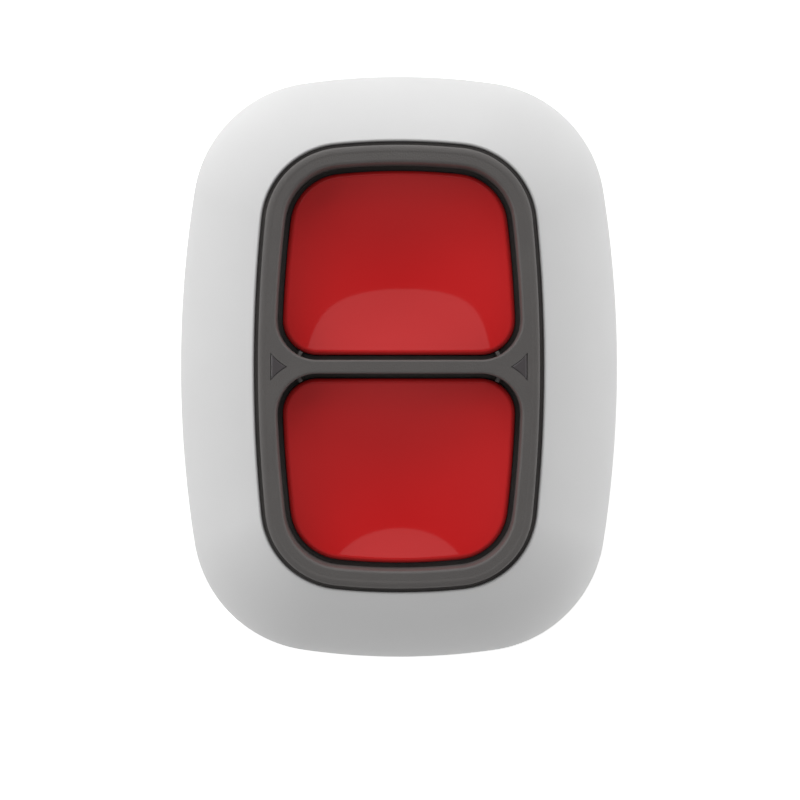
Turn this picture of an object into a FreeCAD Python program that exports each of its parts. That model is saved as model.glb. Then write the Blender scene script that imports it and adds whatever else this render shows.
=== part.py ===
import FreeCAD, Part
import math
import os
import Sketcher
from FreeCAD import Placement, Rotation, Vector

# Wireless panic button: a pillow-shaped pocket casing with two large dished caps behind a guard frame.
# The casing lies on its back: Z goes up through the caps, Y along the casing and X across it.
# The origin is the middle of the flat back. Lengths are in millimetres and angles in degrees.

SIZES = {
    # Casing, seen from the front: an outline of flat side and end arcs joined by corner arcs
    "case_width": 35.4,
    "case_length": 47.0,
    "case_height": 15.4,
    "case_side_radius": 91.6,
    "case_end_radius": 53.9,
    "case_corner_radius": 10.4,
    # Casing, seen from the side: both shells curve in from the parting plane
    "parting_height": 7.0,
    "front_arc": 58.0,
    "back_arc": 60.0,
    "back_width": 20.8,
    "back_length": 33.6,
    "back_corner_radius": 5.5,
    # Opening in the front shell, with its lip and the collar wall around it
    "opening_width": 22.24,
    "opening_length": 34.6,
    "opening_side_radius": 114.0,
    "opening_end_radius": 48.0,
    "opening_corner_radius": 6.35,
    "lip_land": 0.2,
    "lip_fillet": 0.12,
    "collar_wall": 1.2,
    # Walls of the two shells
    "rim_wall": 2.6,
    "hollow_height": 13.0,
    "hollow_arc": 42.0,
    "floor_wall": 1.6,
    "floor_margin": 0.7,
    "floor_arc": 56.0,
    "rib_thickness": 0.9,
    "rib_height": 2.9,
    "rib_near": 4.6,
    "rib_far": 13.4,
    "rib_setback": 0.4,
    # Joint between the shells: groove and seal in the rear cover, tongue on the front shell
    "land_width": 0.9,
    "groove_width": 0.9,
    "groove_depth": 1.5,
    "tongue_length": 0.65,
    "tongue_clearance": 0.05,
    "seal_clearance": 0.02,
    "seam_depth": 0.15,
    "seam_height": 0.12,
    # Four screws from the back
    "screw_across": 14.4,
    "screw_along": 25.2,
    "screw_radius": 0.85,
    "screw_length": 8.0,
    "screw_tip": 0.5,
    "screw_clearance": 0.1,
    "head_radius": 1.45,
    "head_height": 1.15,
    "head_depth": 0.15,
    "head_clearance": 0.15,
    "recess_width": 0.4,
    "recess_length": 1.7,
    "recess_depth": 0.55,
    "pilot_extra": 0.5,
    "boss_wall": 1.2,
    # Lanyard eye: a ring-shaped tunnel through a block inside the rear cover
    "eye_ring_radius": 3.4,
    "eye_bore_radius": 1.0,
    "eye_height": 3.8,
    "eye_setback": 0.6,
    "eye_wall": 1.0,
    "eye_wall_below": 0.4,
    "eye_wall_above": 0.8,
    "eye_block_inset": 2.8,
    # Deck that carries the keypad
    "deck_bottom": 9.4,
    "deck_thickness": 0.8,
    "plunger_hole_radius": 3.25,
    # Circuit board
    "board_bottom": 6.0,
    "board_thickness": 1.0,
    "board_inset": 3.3,
    "switch_spacing": 16.0,
    # Coin cell with the clip under it and the contact above it
    "cell_radius": 10.0,
    "cell_height": 3.2,
    "cell_cap_radius": 8.7,
    "cell_cap_height": 0.4,
    "cell_clearance": 0.3,
    "cell_wall": 0.8,
    "cell_wall_height": 3.0,
    "cell_chamfer": 0.25,
    "clip_lift": 0.6,
    "clip_thickness": 0.25,
    "clip_width": 7.0,
    "clip_foot": 1.6,
    "clip_window": 5.0,
    "contact_width": 4.0,
    "contact_length": 8.0,
    "contact_bump": 0.9,
    "contact_bump_spacing": 4.8,
    # Two push switches on the board
    "switch_size": 6.2,
    "switch_corner": 0.5,
    "switch_body_height": 2.0,
    "switch_well_radius": 2.25,
    "switch_well_floor": 0.8,
    "switch_cover_thickness": 0.2,
    "switch_cover_tab": 3.0,
    "switch_cover_skirt": 1.0,
    "switch_dome_radius": 2.1,
    "switch_dome_rise": 0.3,
    "switch_dome_thickness": 0.08,
    "plunger_radius": 1.5,
    "plunger_flange_radius": 2.0,
    "plunger_flange": 0.5,
    "plunger_clearance": 0.15,
    "plunger_play": 0.1,
    "plunger_rise": 3.1,
    # Silicone keypad between the deck and the guard frame
    "membrane_thickness": 0.4,
    "membrane_clearance": 0.2,
    "bead_height": 0.2,
    "bead_width": 0.6,
    "pad_radius": 2.3,
    "plug_radius": 1.3,
    "pad_gap": 0.05,
    # Guard frame around and between the caps, a little proud of the casing
    "guard_rise": 0.6,
    "guard_clearance": 0.3,
    "guard_edge_fillet": 0.25,
    "aperture_fillet": 0.1,
    "cap_clearance": 0.38,
    "hook_side": 9.0,
    "hook_width": 2.0,
    "hook_thickness": 0.6,
    "hook_setback": 0.1,
    "hook_reach": 0.3,
    "hook_height": 0.6,
    "hook_flat": 0.15,
    "hook_clearance": 0.05,
    # Two caps, described as one outline with a gap for the bar across its middle
    "caps_width": 18.0,
    "caps_length": 30.3,
    "caps_gap": 1.8,
    "caps_side_radius": 98.0,
    "caps_end_radius": 46.5,
    "caps_corner_radius": 4.15,
    "caps_inner_radius": 2.7,
    "cap_rim_height": 14.2,
    "cap_rim_fillet": 0.35,
    "dish_depth": 1.1,
    "cap_plate": 1.0,
    "cap_wall": 1.1,
    "cap_travel": 0.8,
    "cap_stop_gap": 0.05,
    "cap_post_radius": 2.5,
    "cap_post_length": 0.3,
    "cap_rib": 0.7,
    "flange_width": 0.7,
    "flange_thickness": 0.85,
    "flange_start": 3.5,
    "flange_clearance": 0.1,
    # Indicator windows: arrows with hollow sides that point at the bar
    "arrow_tip": 8.56,
    "arrow_base": 9.79,
    "arrow_half_height": 1.03,
    "arrow_side_radius": 4.4,
    "arrow_depth": 0.12,
    "arrow_clearance": 0.03,
    "guide_foot_margin": 0.4,
    "guide_foot_thickness": 0.5,
    "guide_width": 1.2,
    "guide_breadth": 1.8,
    "guide_clearance": 0.2,
    "guide_gap": 0.4,
    "lamp_length": 2.0,
    "lamp_width": 1.25,
    "lamp_base": 0.3,
    "lamp_lens": 0.3,
    # Radio parts
    "can_width": 9.0,
    "can_breadth": 6.6,
    "can_height": 1.5,
    "can_sheet": 0.2,
    "can_corner": 0.6,
    "can_hole_radius": 0.4,
    "can_hole_spacing": 2.6,
    "chip_size": 5.0,
    "chip_height": 0.85,
    "chip_mark_radius": 0.3,
    "crystal_length": 3.2,
    "crystal_width": 2.5,
    "crystal_height": 0.8,
    "crystal_lid_margin": 0.2,
    "crystal_gap": 1.1,
    "crystal_setback": 3.0,
    "antenna_span": 12.6,
    "antenna_clearance": 0.25,
    "antenna_strip": 0.8,
    "antenna_sheet": 0.3,
    "antenna_feed": 2.6,
    "antenna_edge": 1.1,
    "component_length": 1.6,
    "component_width": 0.8,
    "component_height": 0.7,
    "component_pitch": 1.6,
    "component_edge": 3.3,
    "component_beside": 2.3,
}

doc = FreeCAD.newDocument("PanicButton")
sheet = doc.addObject("Spreadsheet::Sheet", "Sizes")
for row, (alias, value) in enumerate(SIZES.items(), 1):
    sheet.set(f"A{row}", alias)
    sheet.set(f"B{row}", str(value))
    sheet.setAlias(f"B{row}", alias)
doc.recompute()

# Levels and places that several pieces share, as formulas on the sheet
PARTING = "Sizes.parting_height"
BOARD_TOP = "(Sizes.board_bottom + Sizes.board_thickness)"
DECK_TOP = "(Sizes.deck_bottom + Sizes.deck_thickness)"
MEMBRANE_TOP = f"({DECK_TOP} + Sizes.membrane_thickness)"
GUARD_BOTTOM = f"({MEMBRANE_TOP} + Sizes.bead_height)"
GUARD_TOP = "(Sizes.case_height + Sizes.guard_rise)"
SKIRT_BOTTOM = f"({MEMBRANE_TOP} + Sizes.cap_travel + Sizes.cap_stop_gap)"
FLANGE_TOP = f"({SKIRT_BOTTOM} + Sizes.flange_thickness)"
CAP_UNDERSIDE = "(Sizes.cap_rim_height - Sizes.dish_depth - Sizes.cap_plate)"
POST_BOTTOM = f"({CAP_UNDERSIDE} - Sizes.cap_post_length)"
GROOVE_FLOOR = f"({PARTING} - Sizes.groove_depth)"
HEAD_SEAT = "(Sizes.head_depth + Sizes.head_height)"
CLIP_TOP = "(Sizes.floor_wall + Sizes.clip_lift + Sizes.clip_thickness)"
CELL_TOP = f"({CLIP_TOP} + Sizes.cell_height)"
CELL_POCKET = "(Sizes.cell_radius + Sizes.cell_clearance)"
SWITCH_TOP = f"({BOARD_TOP} + Sizes.switch_body_height)"
WELL_FLOOR = f"({BOARD_TOP} + Sizes.switch_well_floor)"
PLUNGER_TOP = f"({BOARD_TOP} + Sizes.plunger_rise)"
SWITCH_PLACE = "(Sizes.switch_spacing / 2)"
LAMP_PLACE = "((Sizes.arrow_tip + Sizes.arrow_base) / 2)"
GUARD_HALF_WIDTH = "(Sizes.opening_width / 2 - Sizes.guard_clearance)"
GUARD_HALF_LENGTH = "(Sizes.opening_length / 2 - Sizes.guard_clearance)"
SIDE_SAG = "(Sizes.hook_side ^ 2 / 2 / Sizes.opening_side_radius)"
SIDE_HOOK_FACE = f"({GUARD_HALF_WIDTH} - {SIDE_SAG} - Sizes.hook_setback)"
END_HOOK_FACE = f"({GUARD_HALF_LENGTH} - Sizes.hook_setback)"
SIDE_SLOT_EDGE = f"({SIDE_HOOK_FACE} + Sizes.hook_clearance)"
END_SLOT_EDGE = f"({END_HOOK_FACE} + Sizes.hook_clearance)"
HOOK_BOTTOM = "(Sizes.deck_bottom - Sizes.hook_clearance - Sizes.hook_height)"
GUIDE_FOOT_HALF = "((Sizes.arrow_base - Sizes.arrow_tip) / 2 + Sizes.guide_foot_margin)"
BOARD_END = "(Sizes.case_length / 2 - Sizes.board_inset)"
CELL_WALL_FACE = f"({CELL_POCKET} + Sizes.cell_wall)"
EYE_AXIS = "(Sizes.case_length / 2 - Sizes.eye_setback)"
EYE_REACH = "(Sizes.eye_ring_radius + Sizes.eye_bore_radius + Sizes.eye_wall)"
EYE_BLOCK_NEAR = f"({EYE_AXIS} - {EYE_REACH})"

# Sections in each loft of a skin and of a hollow, and the allowance in comparing lengths
SKIN_STEPS = 6
HOLLOW_STEPS = 4
SAME = 1e-4

# Outlines seen from the front, each as formulas for its two half sizes and three radii
CASE = {
    "half_width": "Sizes.case_width / 2",
    "half_length": "Sizes.case_length / 2",
    "side": "Sizes.case_side_radius",
    "end": "Sizes.case_end_radius",
    "corner": "Sizes.case_corner_radius",
}
OPENING = {
    "half_width": "Sizes.opening_width / 2",
    "half_length": "Sizes.opening_length / 2",
    "side": "Sizes.opening_side_radius",
    "end": "Sizes.opening_end_radius",
    "corner": "Sizes.opening_corner_radius",
}
BACK = {
    "half_width": "Sizes.back_width / 2",
    "half_length": "Sizes.back_length / 2",
    "side": "Sizes.case_side_radius",
    "end": "Sizes.case_end_radius",
    "corner": "Sizes.back_corner_radius",
}
CAPS = {
    "half_width": "Sizes.caps_width / 2",
    "half_length": "Sizes.caps_length / 2",
    "side": "Sizes.caps_side_radius",
    "end": "Sizes.caps_end_radius",
    "corner": "Sizes.caps_corner_radius",
}


def number(text):
    return float(sheet.evalExpression(text))


def grown(form, amount):
    return {key: f"({text} + {amount})" for key, text in form.items()}


def shrunk(form, amount):
    return {key: f"({text} - {amount})" for key, text in form.items()}


def blended(first, second, share):
    return {key: f"({first[key]} + ({second[key]} - {first[key]}) * {share})" for key in first}


# Sketches

def new_body(name):
    return doc.addObject("PartDesign::Body", name)


def origin_plane(body, role):
    return next(item for item in body.Origin.OriginFeatures if item.Role == role)


def new_sketch(body, name, offset, role="XY_Plane"):
    sketch = body.newObject("Sketcher::SketchObject", name)
    sketch.AttachmentSupport = [(origin_plane(body, role), "")]
    sketch.MapMode = "FlatFace"
    sketch.setExpression("AttachmentOffset.Base.z", offset)
    return sketch


def bind(sketch, constraint, text):
    index = sketch.addConstraint(constraint)
    sketch.setExpression(f"Constraints[{index}]", text)


def place_point(sketch, piece, end, across, along):
    # A coordinate that is always nought keeps the point on the axis.
    for axis, kind, text in ((-2, "DistanceX", across), (-1, "DistanceY", along)):
        if text == "0":
            sketch.addConstraint(Sketcher.Constraint("PointOnObject", piece, end, axis))
        else:
            bind(sketch, Sketcher.Constraint(kind, piece, end, number(text)), text)


def add_arc(sketch, centre, radius, start, stop):
    circle = Part.Circle(centre, Vector(0, 0, 1), radius)
    return sketch.addGeometry(Part.ArcOfCircle(circle, start, stop), False)


def join(sketch, pieces, kinds):
    for kind, piece, following in zip(kinds, pieces, pieces[1:] + pieces[:1]):
        sketch.addConstraint(Sketcher.Constraint(kind, piece, 2, following, 1))


def draw_polygon(sketch, corners):
    points = [Vector(number(across), number(along), 0) for across, along in corners]
    lines = []
    for start, stop in zip(points, points[1:] + points[:1]):
        lines.append(sketch.addGeometry(Part.LineSegment(start, stop), False))
    join(sketch, lines, ["Coincident"] * len(lines))
    for line, (across, along) in zip(lines, corners):
        place_point(sketch, line, 1, across, along)


def draw_rectangle(sketch, left, right, low, high):
    draw_polygon(sketch, [(left, low), (right, low), (right, high), (left, high)])


def draw_circle(sketch, across, along, radius):
    centre = Vector(number(across), number(along), 0)
    circle = sketch.addGeometry(Part.Circle(centre, Vector(0, 0, 1), number(radius)), False)
    place_point(sketch, circle, 3, across, along)
    bind(sketch, Sketcher.Constraint("Radius", circle, number(radius)), radius)


def corner_centre(width, length, side, end, corner):
    # The corner arc touches a side arc, centred on the X axis, and an end arc, centred on the Y axis.
    across, along = side - width, end - length
    between = math.hypot(across, along)
    near, far = side - corner, end - corner
    reach = (near ** 2 - far ** 2 + between ** 2) / (2 * between)
    height = math.sqrt(near ** 2 - reach ** 2)
    return Vector(
        -across + (reach * across + height * along) / between,
        (height * across - reach * along) / between,
        0,
    )


def draw_outline(sketch, form):
    width, length, side, end, corner = (number(form[key]) for key in form)
    centre = corner_centre(width, length, side, end, corner)
    across, along = side - width, end - length
    low = math.atan2(centre.y, centre.x + across)
    high = math.atan2(centre.y + along, centre.x)
    right, left = Vector(-across, 0, 0), Vector(across, 0, 0)
    top, bottom = Vector(0, -along, 0), Vector(0, along, 0)
    turn = math.pi
    arcs = [
        add_arc(sketch, right, side, 0, low),
        add_arc(sketch, centre, corner, low, high),
        add_arc(sketch, top, end, high, turn / 2),
        add_arc(sketch, top, end, turn / 2, turn - high),
        add_arc(sketch, Vector(-centre.x, centre.y, 0), corner, turn - high, turn - low),
        add_arc(sketch, left, side, turn - low, turn),
        add_arc(sketch, left, side, turn, turn + low),
        add_arc(sketch, -centre, corner, turn + low, turn + high),
        add_arc(sketch, bottom, end, turn + high, 1.5 * turn),
        add_arc(sketch, bottom, end, 1.5 * turn, 2 * turn - high),
        add_arc(sketch, Vector(centre.x, -centre.y, 0), corner, -high, -low),
        add_arc(sketch, right, side, -low, 0),
    ]
    join(sketch, arcs, ["Tangent"] * len(arcs))
    for arc, key in zip(arcs, ("side", "corner", "end", "end", "corner", "side") * 2):
        bind(sketch, Sketcher.Constraint("Radius", arc, number(form[key])), form[key])
    place_point(sketch, arcs[0], 3, f"{form['half_width']} - {form['side']}", "0")
    place_point(sketch, arcs[5], 3, f"{form['side']} - {form['half_width']}", "0")
    place_point(sketch, arcs[2], 3, "0", f"{form['half_length']} - {form['end']}")
    place_point(sketch, arcs[8], 3, "0", f"{form['end']} - {form['half_length']}")
    # The side and end arcs are halved on the axes, so that the widest points are corners of the form.
    for piece, end_point, axis in ((0, 1, -1), (2, 2, -2), (5, 2, -1), (8, 2, -2)):
        sketch.addConstraint(Sketcher.Constraint("PointOnObject", arcs[piece], end_point, axis))


def draw_half_outline(sketch, form, edge, inner=None):
    # The +Y half of an outline, closed by a straight edge whose corners are sharp or have a radius.
    width, length, side, end, corner = (number(form[key]) for key in form)
    centre = corner_centre(width, length, side, end, corner)
    across, along = side - width, end - length
    low = math.atan2(centre.y, centre.x + across)
    high = math.atan2(centre.y + along, centre.x)
    turn = math.pi
    level = number(edge)
    radius = number(inner) if inner else 0.0
    inner_x = math.sqrt((side - radius) ** 2 - (level + radius) ** 2) - across
    start = math.atan2(level + radius, inner_x + across)
    arcs = [
        add_arc(sketch, Vector(-across, 0, 0), side, start, low),
        add_arc(sketch, centre, corner, low, high),
        add_arc(sketch, Vector(0, -along, 0), end, high, turn - high),
        add_arc(sketch, Vector(-centre.x, centre.y, 0), corner, turn - high, turn - low),
        add_arc(sketch, Vector(across, 0, 0), side, turn - low, turn - start),
    ]
    for arc, key in zip(arcs, ("side", "corner", "end", "corner", "side")):
        bind(sketch, Sketcher.Constraint("Radius", arc, number(form[key])), form[key])
    line = Part.LineSegment(Vector(-inner_x, level, 0), Vector(inner_x, level, 0))
    straight = sketch.addGeometry(line, False)
    if inner:
        left = add_arc(sketch, Vector(-inner_x, level + radius, 0), radius, turn - start, 1.5 * turn)
        right = add_arc(sketch, Vector(inner_x, level + radius, 0), radius, -0.5 * turn, start)
        for arc in (left, right):
            bind(sketch, Sketcher.Constraint("Radius", arc, radius), inner)
        join(sketch, arcs + [left, straight, right], ["Tangent"] * 8)
    else:
        join(sketch, arcs + [straight], ["Tangent"] * 4 + ["Coincident"] * 2)
    sketch.addConstraint(Sketcher.Constraint("Horizontal", straight))
    bind(sketch, Sketcher.Constraint("DistanceY", straight, 1, level), edge)
    place_point(sketch, arcs[0], 3, f"{form['half_width']} - {form['side']}", "0")
    place_point(sketch, arcs[4], 3, f"{form['side']} - {form['half_width']}", "0")
    place_point(sketch, arcs[2], 3, "0", f"{form['half_length']} - {form['end']}")


def draw_arrow(sketch, sign, margin):
    # The base stands outermost; both hollow sides are arcs that meet at the tip on the X axis.
    # A margin moves the sharp tip and corners further than it moves the sides.
    tip = f"({sign}) * (Sizes.arrow_tip - 2 * {margin})"
    base = f"({sign}) * (Sizes.arrow_base + {margin})"
    half = f"(Sizes.arrow_half_height + 3 * {margin})"
    radius = "Sizes.arrow_side_radius"
    tip_x, base_x, half_y, bend = number(tip), number(base), number(half), number(radius)
    middle = Vector((tip_x + base_x) / 2, half_y / 2, 0)
    chord = Vector(base_x - tip_x, half_y, 0)
    normal = Vector(-half_y * sign, abs(chord.x), 0).normalize()
    upper = middle + normal * math.sqrt(bend ** 2 - chord.Length ** 2 / 4)
    lower = Vector(upper.x, -upper.y, 0)
    tip_angle = math.atan2(-upper.y, tip_x - upper.x)
    base_angle = math.atan2(half_y - upper.y, base_x - upper.x)
    line = Part.LineSegment(Vector(base_x, -half_y, 0), Vector(base_x, half_y, 0))
    straight = sketch.addGeometry(line, False)
    if sign > 0:
        first = add_arc(sketch, upper, bend, tip_angle, base_angle)
        second = add_arc(sketch, lower, bend, -base_angle, -tip_angle)
        links = ((straight, 2, first, 2), (first, 1, second, 2), (second, 1, straight, 1))
    else:
        first = add_arc(sketch, upper, bend, base_angle, tip_angle)
        second = add_arc(sketch, lower, bend, -tip_angle, -base_angle)
        links = ((straight, 2, first, 1), (first, 2, second, 1), (second, 2, straight, 1))
    for link in links:
        sketch.addConstraint(Sketcher.Constraint("Coincident", *link))
    for arc in (first, second):
        bind(sketch, Sketcher.Constraint("Radius", arc, bend), radius)
    place_point(sketch, straight, 1, base, f"-{half}")
    place_point(sketch, straight, 2, base, half)
    place_point(sketch, first, 1 if sign > 0 else 2, tip, "0")


# Features

def pad(body, sketch, length, down=False, centred=False):
    feature = body.newObject("PartDesign::Pad", f"{sketch.Name}_pad")
    feature.Profile = sketch
    feature.Reversed = down
    feature.Midplane = centred
    feature.setExpression("Length", length)
    return feature


def pocket(body, sketch, depth, up=False):
    feature = body.newObject("PartDesign::Pocket", f"{sketch.Name}_pocket")
    feature.Profile = sketch
    feature.Reversed = up
    feature.setExpression("Length", depth)
    return feature


def turned(body, sketch, kind="PartDesign::Revolution"):
    feature = body.newObject(kind, f"{sketch.Name}_turned")
    feature.Profile = sketch
    feature.ReferenceAxis = (sketch, ["V_Axis"])
    feature.Angle = 360
    return feature


def bowed_loft(body, name, kind, start, stop, low, high, arc, steps):
    # Sections from one outline to another, placed along an elliptic arc that leaves the first upright.
    sketches = []
    for step in range(steps + 1):
        turn = f"{arc} * {step / steps:g}"
        inward = f"((1 - cos({turn})) / (1 - cos({arc})))"
        upward = f"(sin({turn}) / sin({arc}))"
        sketch = new_sketch(body, f"{name}_{step}", f"{low} + ({high} - {low}) * {upward}")
        draw_outline(sketch, blended(start, stop, inward))
        sketches.append(sketch)
    feature = body.newObject(kind, name)
    feature.Profile = sketches[0]
    feature.Sections = sketches[1:]
    return feature


def edge_names(feature, test):
    doc.recompute()
    return [f"Edge{index}" for index, edge in enumerate(feature.Shape.Edges, 1) if test(edge)]


def level_edges(feature, level, form=None, spare=0.05):
    # Edges that lie at one height, and inside an outline where one is given.
    height = number(level)
    limits = (number(form["half_width"]) + spare, number(form["half_length"]) + spare) if form else None

    def wanted(edge):
        box = edge.BoundBox
        if abs(box.ZMin - height) > SAME or abs(box.ZMax - height) > SAME:
            return False
        return limits is None or (box.XMax < limits[0] and box.YMax < limits[1])

    return edge_names(feature, wanted)


def ring_edges(feature, level, form):
    # Edges at one height that belong to an outline, told from others by the radii of its arcs.
    height = number(level)
    radii = [number(form[key]) for key in ("side", "end", "corner")]

    def wanted(edge):
        box = edge.BoundBox
        flat = abs(box.ZMin - height) < SAME and abs(box.ZMax - height) < SAME
        radius = getattr(edge.Curve, "Radius", None) if flat else None
        return radius is not None and any(abs(radius - known) < SAME for known in radii)

    return edge_names(feature, wanted)


def rounded(body, feature, edges, radius, name):
    fillet = body.newObject("PartDesign::Fillet", name)
    fillet.Base = (feature, edges)
    fillet.setExpression("Radius", radius)
    return fillet


def upright_edges(feature, radius):
    # Vertical straight edges that stand further than a radius from the middle of the piece.
    limit = number(radius)

    def wanted(edge):
        box = edge.BoundBox
        upright = box.XLength < SAME and box.YLength < SAME
        return upright and math.hypot(box.XMin, box.YMin) > limit

    return edge_names(feature, wanted)


def draw_screw_circles(sketch, radius):
    for across in ("-Sizes.screw_across / 2", "Sizes.screw_across / 2"):
        for along in ("-Sizes.screw_along / 2", "Sizes.screw_along / 2"):
            draw_circle(sketch, across, along, radius)


# Front shell: a bowed skin, hollow up to the collar around the opening, with a deck across it
def make_front_shell():
    body = new_body("front_shell")
    lip = grown(OPENING, "Sizes.lip_land")
    collar = grown(OPENING, "Sizes.collar_wall")
    bowed_loft(
        body, "front_skin", "PartDesign::AdditiveLoft", CASE, lip,
        PARTING, "Sizes.case_height", "Sizes.front_arc", SKIN_STEPS,
    )
    bowed_loft(
        body, "front_hollow", "PartDesign::SubtractiveLoft", shrunk(CASE, "Sizes.rim_wall"), collar,
        PARTING, "Sizes.hollow_height", "Sizes.hollow_arc", HOLLOW_STEPS,
    )
    column = new_sketch(body, "collar", "Sizes.deck_bottom")
    draw_outline(column, collar)
    pad(body, column, "Sizes.hollow_height + Sizes.collar_wall - Sizes.deck_bottom")
    ribs = new_sketch(body, "collar_ribs", "Sizes.hollow_height - Sizes.rib_height")
    inner = "(Sizes.opening_width / 2 + Sizes.collar_wall / 2)"
    for place in ("-Sizes.rib_far", "-Sizes.rib_near", "Sizes.rib_near", "Sizes.rib_far"):
        sag = f"(({place}) ^ 2 / 2 / Sizes.case_side_radius)"
        outer = f"(Sizes.case_width / 2 - {sag} - Sizes.rim_wall - Sizes.rib_setback)"
        low, high = f"{place} - Sizes.rib_thickness / 2", f"{place} + Sizes.rib_thickness / 2"
        for sign in ("-", ""):
            draw_rectangle(ribs, f"{sign}{inner}", f"{sign}{outer}", low, high)
    pad(body, ribs, "Sizes.rib_height")
    mouth = new_sketch(body, "opening", "Sizes.case_height")
    draw_outline(mouth, OPENING)
    cut = pocket(body, mouth, f"Sizes.case_height - {DECK_TOP}")
    rounded(body, cut, ring_edges(cut, "Sizes.case_height", OPENING), "Sizes.lip_fillet", "lip_round")
    cut_seam(body, f"{PARTING} + Sizes.seam_height")
    tongue = new_sketch(body, "tongue", PARTING)
    draw_outline(tongue, shrunk(CASE, "(Sizes.land_width + Sizes.tongue_clearance)"))
    draw_outline(tongue, shrunk(CASE, "(Sizes.land_width + Sizes.groove_width - Sizes.tongue_clearance)"))
    pad(body, tongue, "Sizes.tongue_length", down=True)
    bosses = new_sketch(body, "front_bosses", BOARD_TOP)
    draw_screw_circles(bosses, "Sizes.screw_radius + Sizes.boss_wall")
    pad(body, bosses, f"Sizes.deck_bottom - {BOARD_TOP}")
    pilots = new_sketch(body, "pilot_holes", BOARD_TOP)
    draw_screw_circles(pilots, "Sizes.screw_radius")
    pocket(body, pilots, f"{HEAD_SEAT} + Sizes.screw_length + Sizes.pilot_extra - {BOARD_TOP}", up=True)
    holes = new_sketch(body, "deck_holes", DECK_TOP)
    for sign in ("-", ""):
        draw_circle(holes, "0", f"{sign}{SWITCH_PLACE}", "Sizes.plunger_hole_radius")
        draw_guide_slot(holes, sign)
        for side in ("-", ""):
            draw_side_hook_slot(holes, sign, f"{side}Sizes.hook_side", SIDE_SLOT_EDGE)
        draw_end_hook_slot(holes, sign, END_SLOT_EDGE)
    pocket(body, holes, "Sizes.deck_thickness")
    return body


def cut_seam(body, top):
    # The two shells meet in a shallow shadow gap that runs round the casing.
    seam = new_sketch(body, f"{body.Name}_seam", top)
    draw_outline(seam, grown(CASE, "Sizes.seam_depth"))
    draw_outline(seam, shrunk(CASE, "Sizes.seam_depth"))
    pocket(body, seam, "Sizes.seam_height")


def draw_guide_slot(sketch, sign):
    half_width = "(Sizes.guide_width / 2 + Sizes.guide_clearance)"
    half_breadth = "(Sizes.guide_breadth / 2 + Sizes.guide_clearance)"
    left, right = f"{sign}({LAMP_PLACE} - {half_width})", f"{sign}({LAMP_PLACE} + {half_width})"
    draw_rectangle(sketch, left, right, f"-{half_breadth}", half_breadth)


def draw_side_hook_slot(sketch, sign, place, far):
    near = f"({SIDE_HOOK_FACE} - Sizes.hook_thickness - Sizes.hook_reach)"
    half = "(Sizes.hook_width / 2 + Sizes.hook_clearance)"
    draw_rectangle(sketch, f"{sign}{near}", f"{sign}{far}", f"{place} - {half}", f"{place} + {half}")


def draw_end_hook_slot(sketch, sign, far):
    near = f"({END_HOOK_FACE} - Sizes.hook_thickness - Sizes.hook_reach)"
    half = "(Sizes.hook_width / 2 + Sizes.hook_clearance)"
    draw_rectangle(sketch, f"-{half}", half, f"{sign}{near}", f"{sign}{far}")


# Rear cover: the lower half of the pillow, with the seal groove, bosses, cell wall and lanyard eye
def make_rear_cover():
    body = new_body("rear_cover")
    floor = shrunk(BACK, "Sizes.floor_margin")
    bowed_loft(
        body, "rear_skin", "PartDesign::AdditiveLoft", CASE, BACK,
        PARTING, "0", "Sizes.back_arc", SKIN_STEPS,
    )
    bowed_loft(
        body, "rear_hollow", "PartDesign::SubtractiveLoft", shrunk(CASE, "Sizes.rim_wall"), floor,
        PARTING, "Sizes.floor_wall", "Sizes.floor_arc", HOLLOW_STEPS,
    )
    cut_seam(body, PARTING)
    groove = new_sketch(body, "seal_groove", PARTING)
    draw_outline(groove, shrunk(CASE, "Sizes.land_width"))
    draw_outline(groove, shrunk(CASE, "(Sizes.land_width + Sizes.groove_width)"))
    pocket(body, groove, "Sizes.groove_depth")
    wall = new_sketch(body, "cell_wall", "Sizes.floor_wall")
    draw_circle(wall, "0", "0", CELL_WALL_FACE)
    pad(body, wall, "Sizes.cell_wall_height")
    well = new_sketch(body, "cell_well", "Sizes.floor_wall + Sizes.cell_wall_height")
    draw_circle(well, "0", "0", CELL_POCKET)
    pocket(body, well, "Sizes.cell_wall_height")
    gap = new_sketch(body, "clip_gap", "Sizes.floor_wall + Sizes.cell_wall_height")
    half_gap = "(Sizes.clip_width / 2 + Sizes.cell_clearance)"
    reach = f"({CELL_POCKET} + Sizes.clip_thickness + Sizes.cell_clearance)"
    draw_rectangle(gap, f"-{reach}", reach, f"-{half_gap}", half_gap)
    pocket(body, gap, "Sizes.cell_wall_height")
    bosses = new_sketch(body, "rear_bosses", "Sizes.floor_wall")
    draw_screw_circles(bosses, "Sizes.screw_radius + Sizes.screw_clearance + Sizes.boss_wall")
    pad(body, bosses, "Sizes.board_bottom - Sizes.floor_wall")
    holes = new_sketch(body, "screw_holes", "Sizes.board_bottom")
    draw_screw_circles(holes, "Sizes.screw_radius + Sizes.screw_clearance")
    pocket(body, holes, "Sizes.board_bottom")
    seats = new_sketch(body, "head_seats", HEAD_SEAT)
    draw_screw_circles(seats, "Sizes.head_radius + Sizes.head_clearance")
    pocket(body, seats, HEAD_SEAT)
    low = "(Sizes.eye_height - Sizes.eye_bore_radius - Sizes.eye_wall_below)"
    high = "(Sizes.eye_height + Sizes.eye_bore_radius + Sizes.eye_wall_above)"
    far = "(Sizes.case_length / 2 - Sizes.eye_block_inset)"
    block = new_sketch(body, "eye_block", low)
    draw_rectangle(block, f"-{EYE_REACH}", EYE_REACH, EYE_BLOCK_NEAR, far)
    pad(body, block, f"{high} - {low}")
    return cut_lanyard_eye(body)


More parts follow.
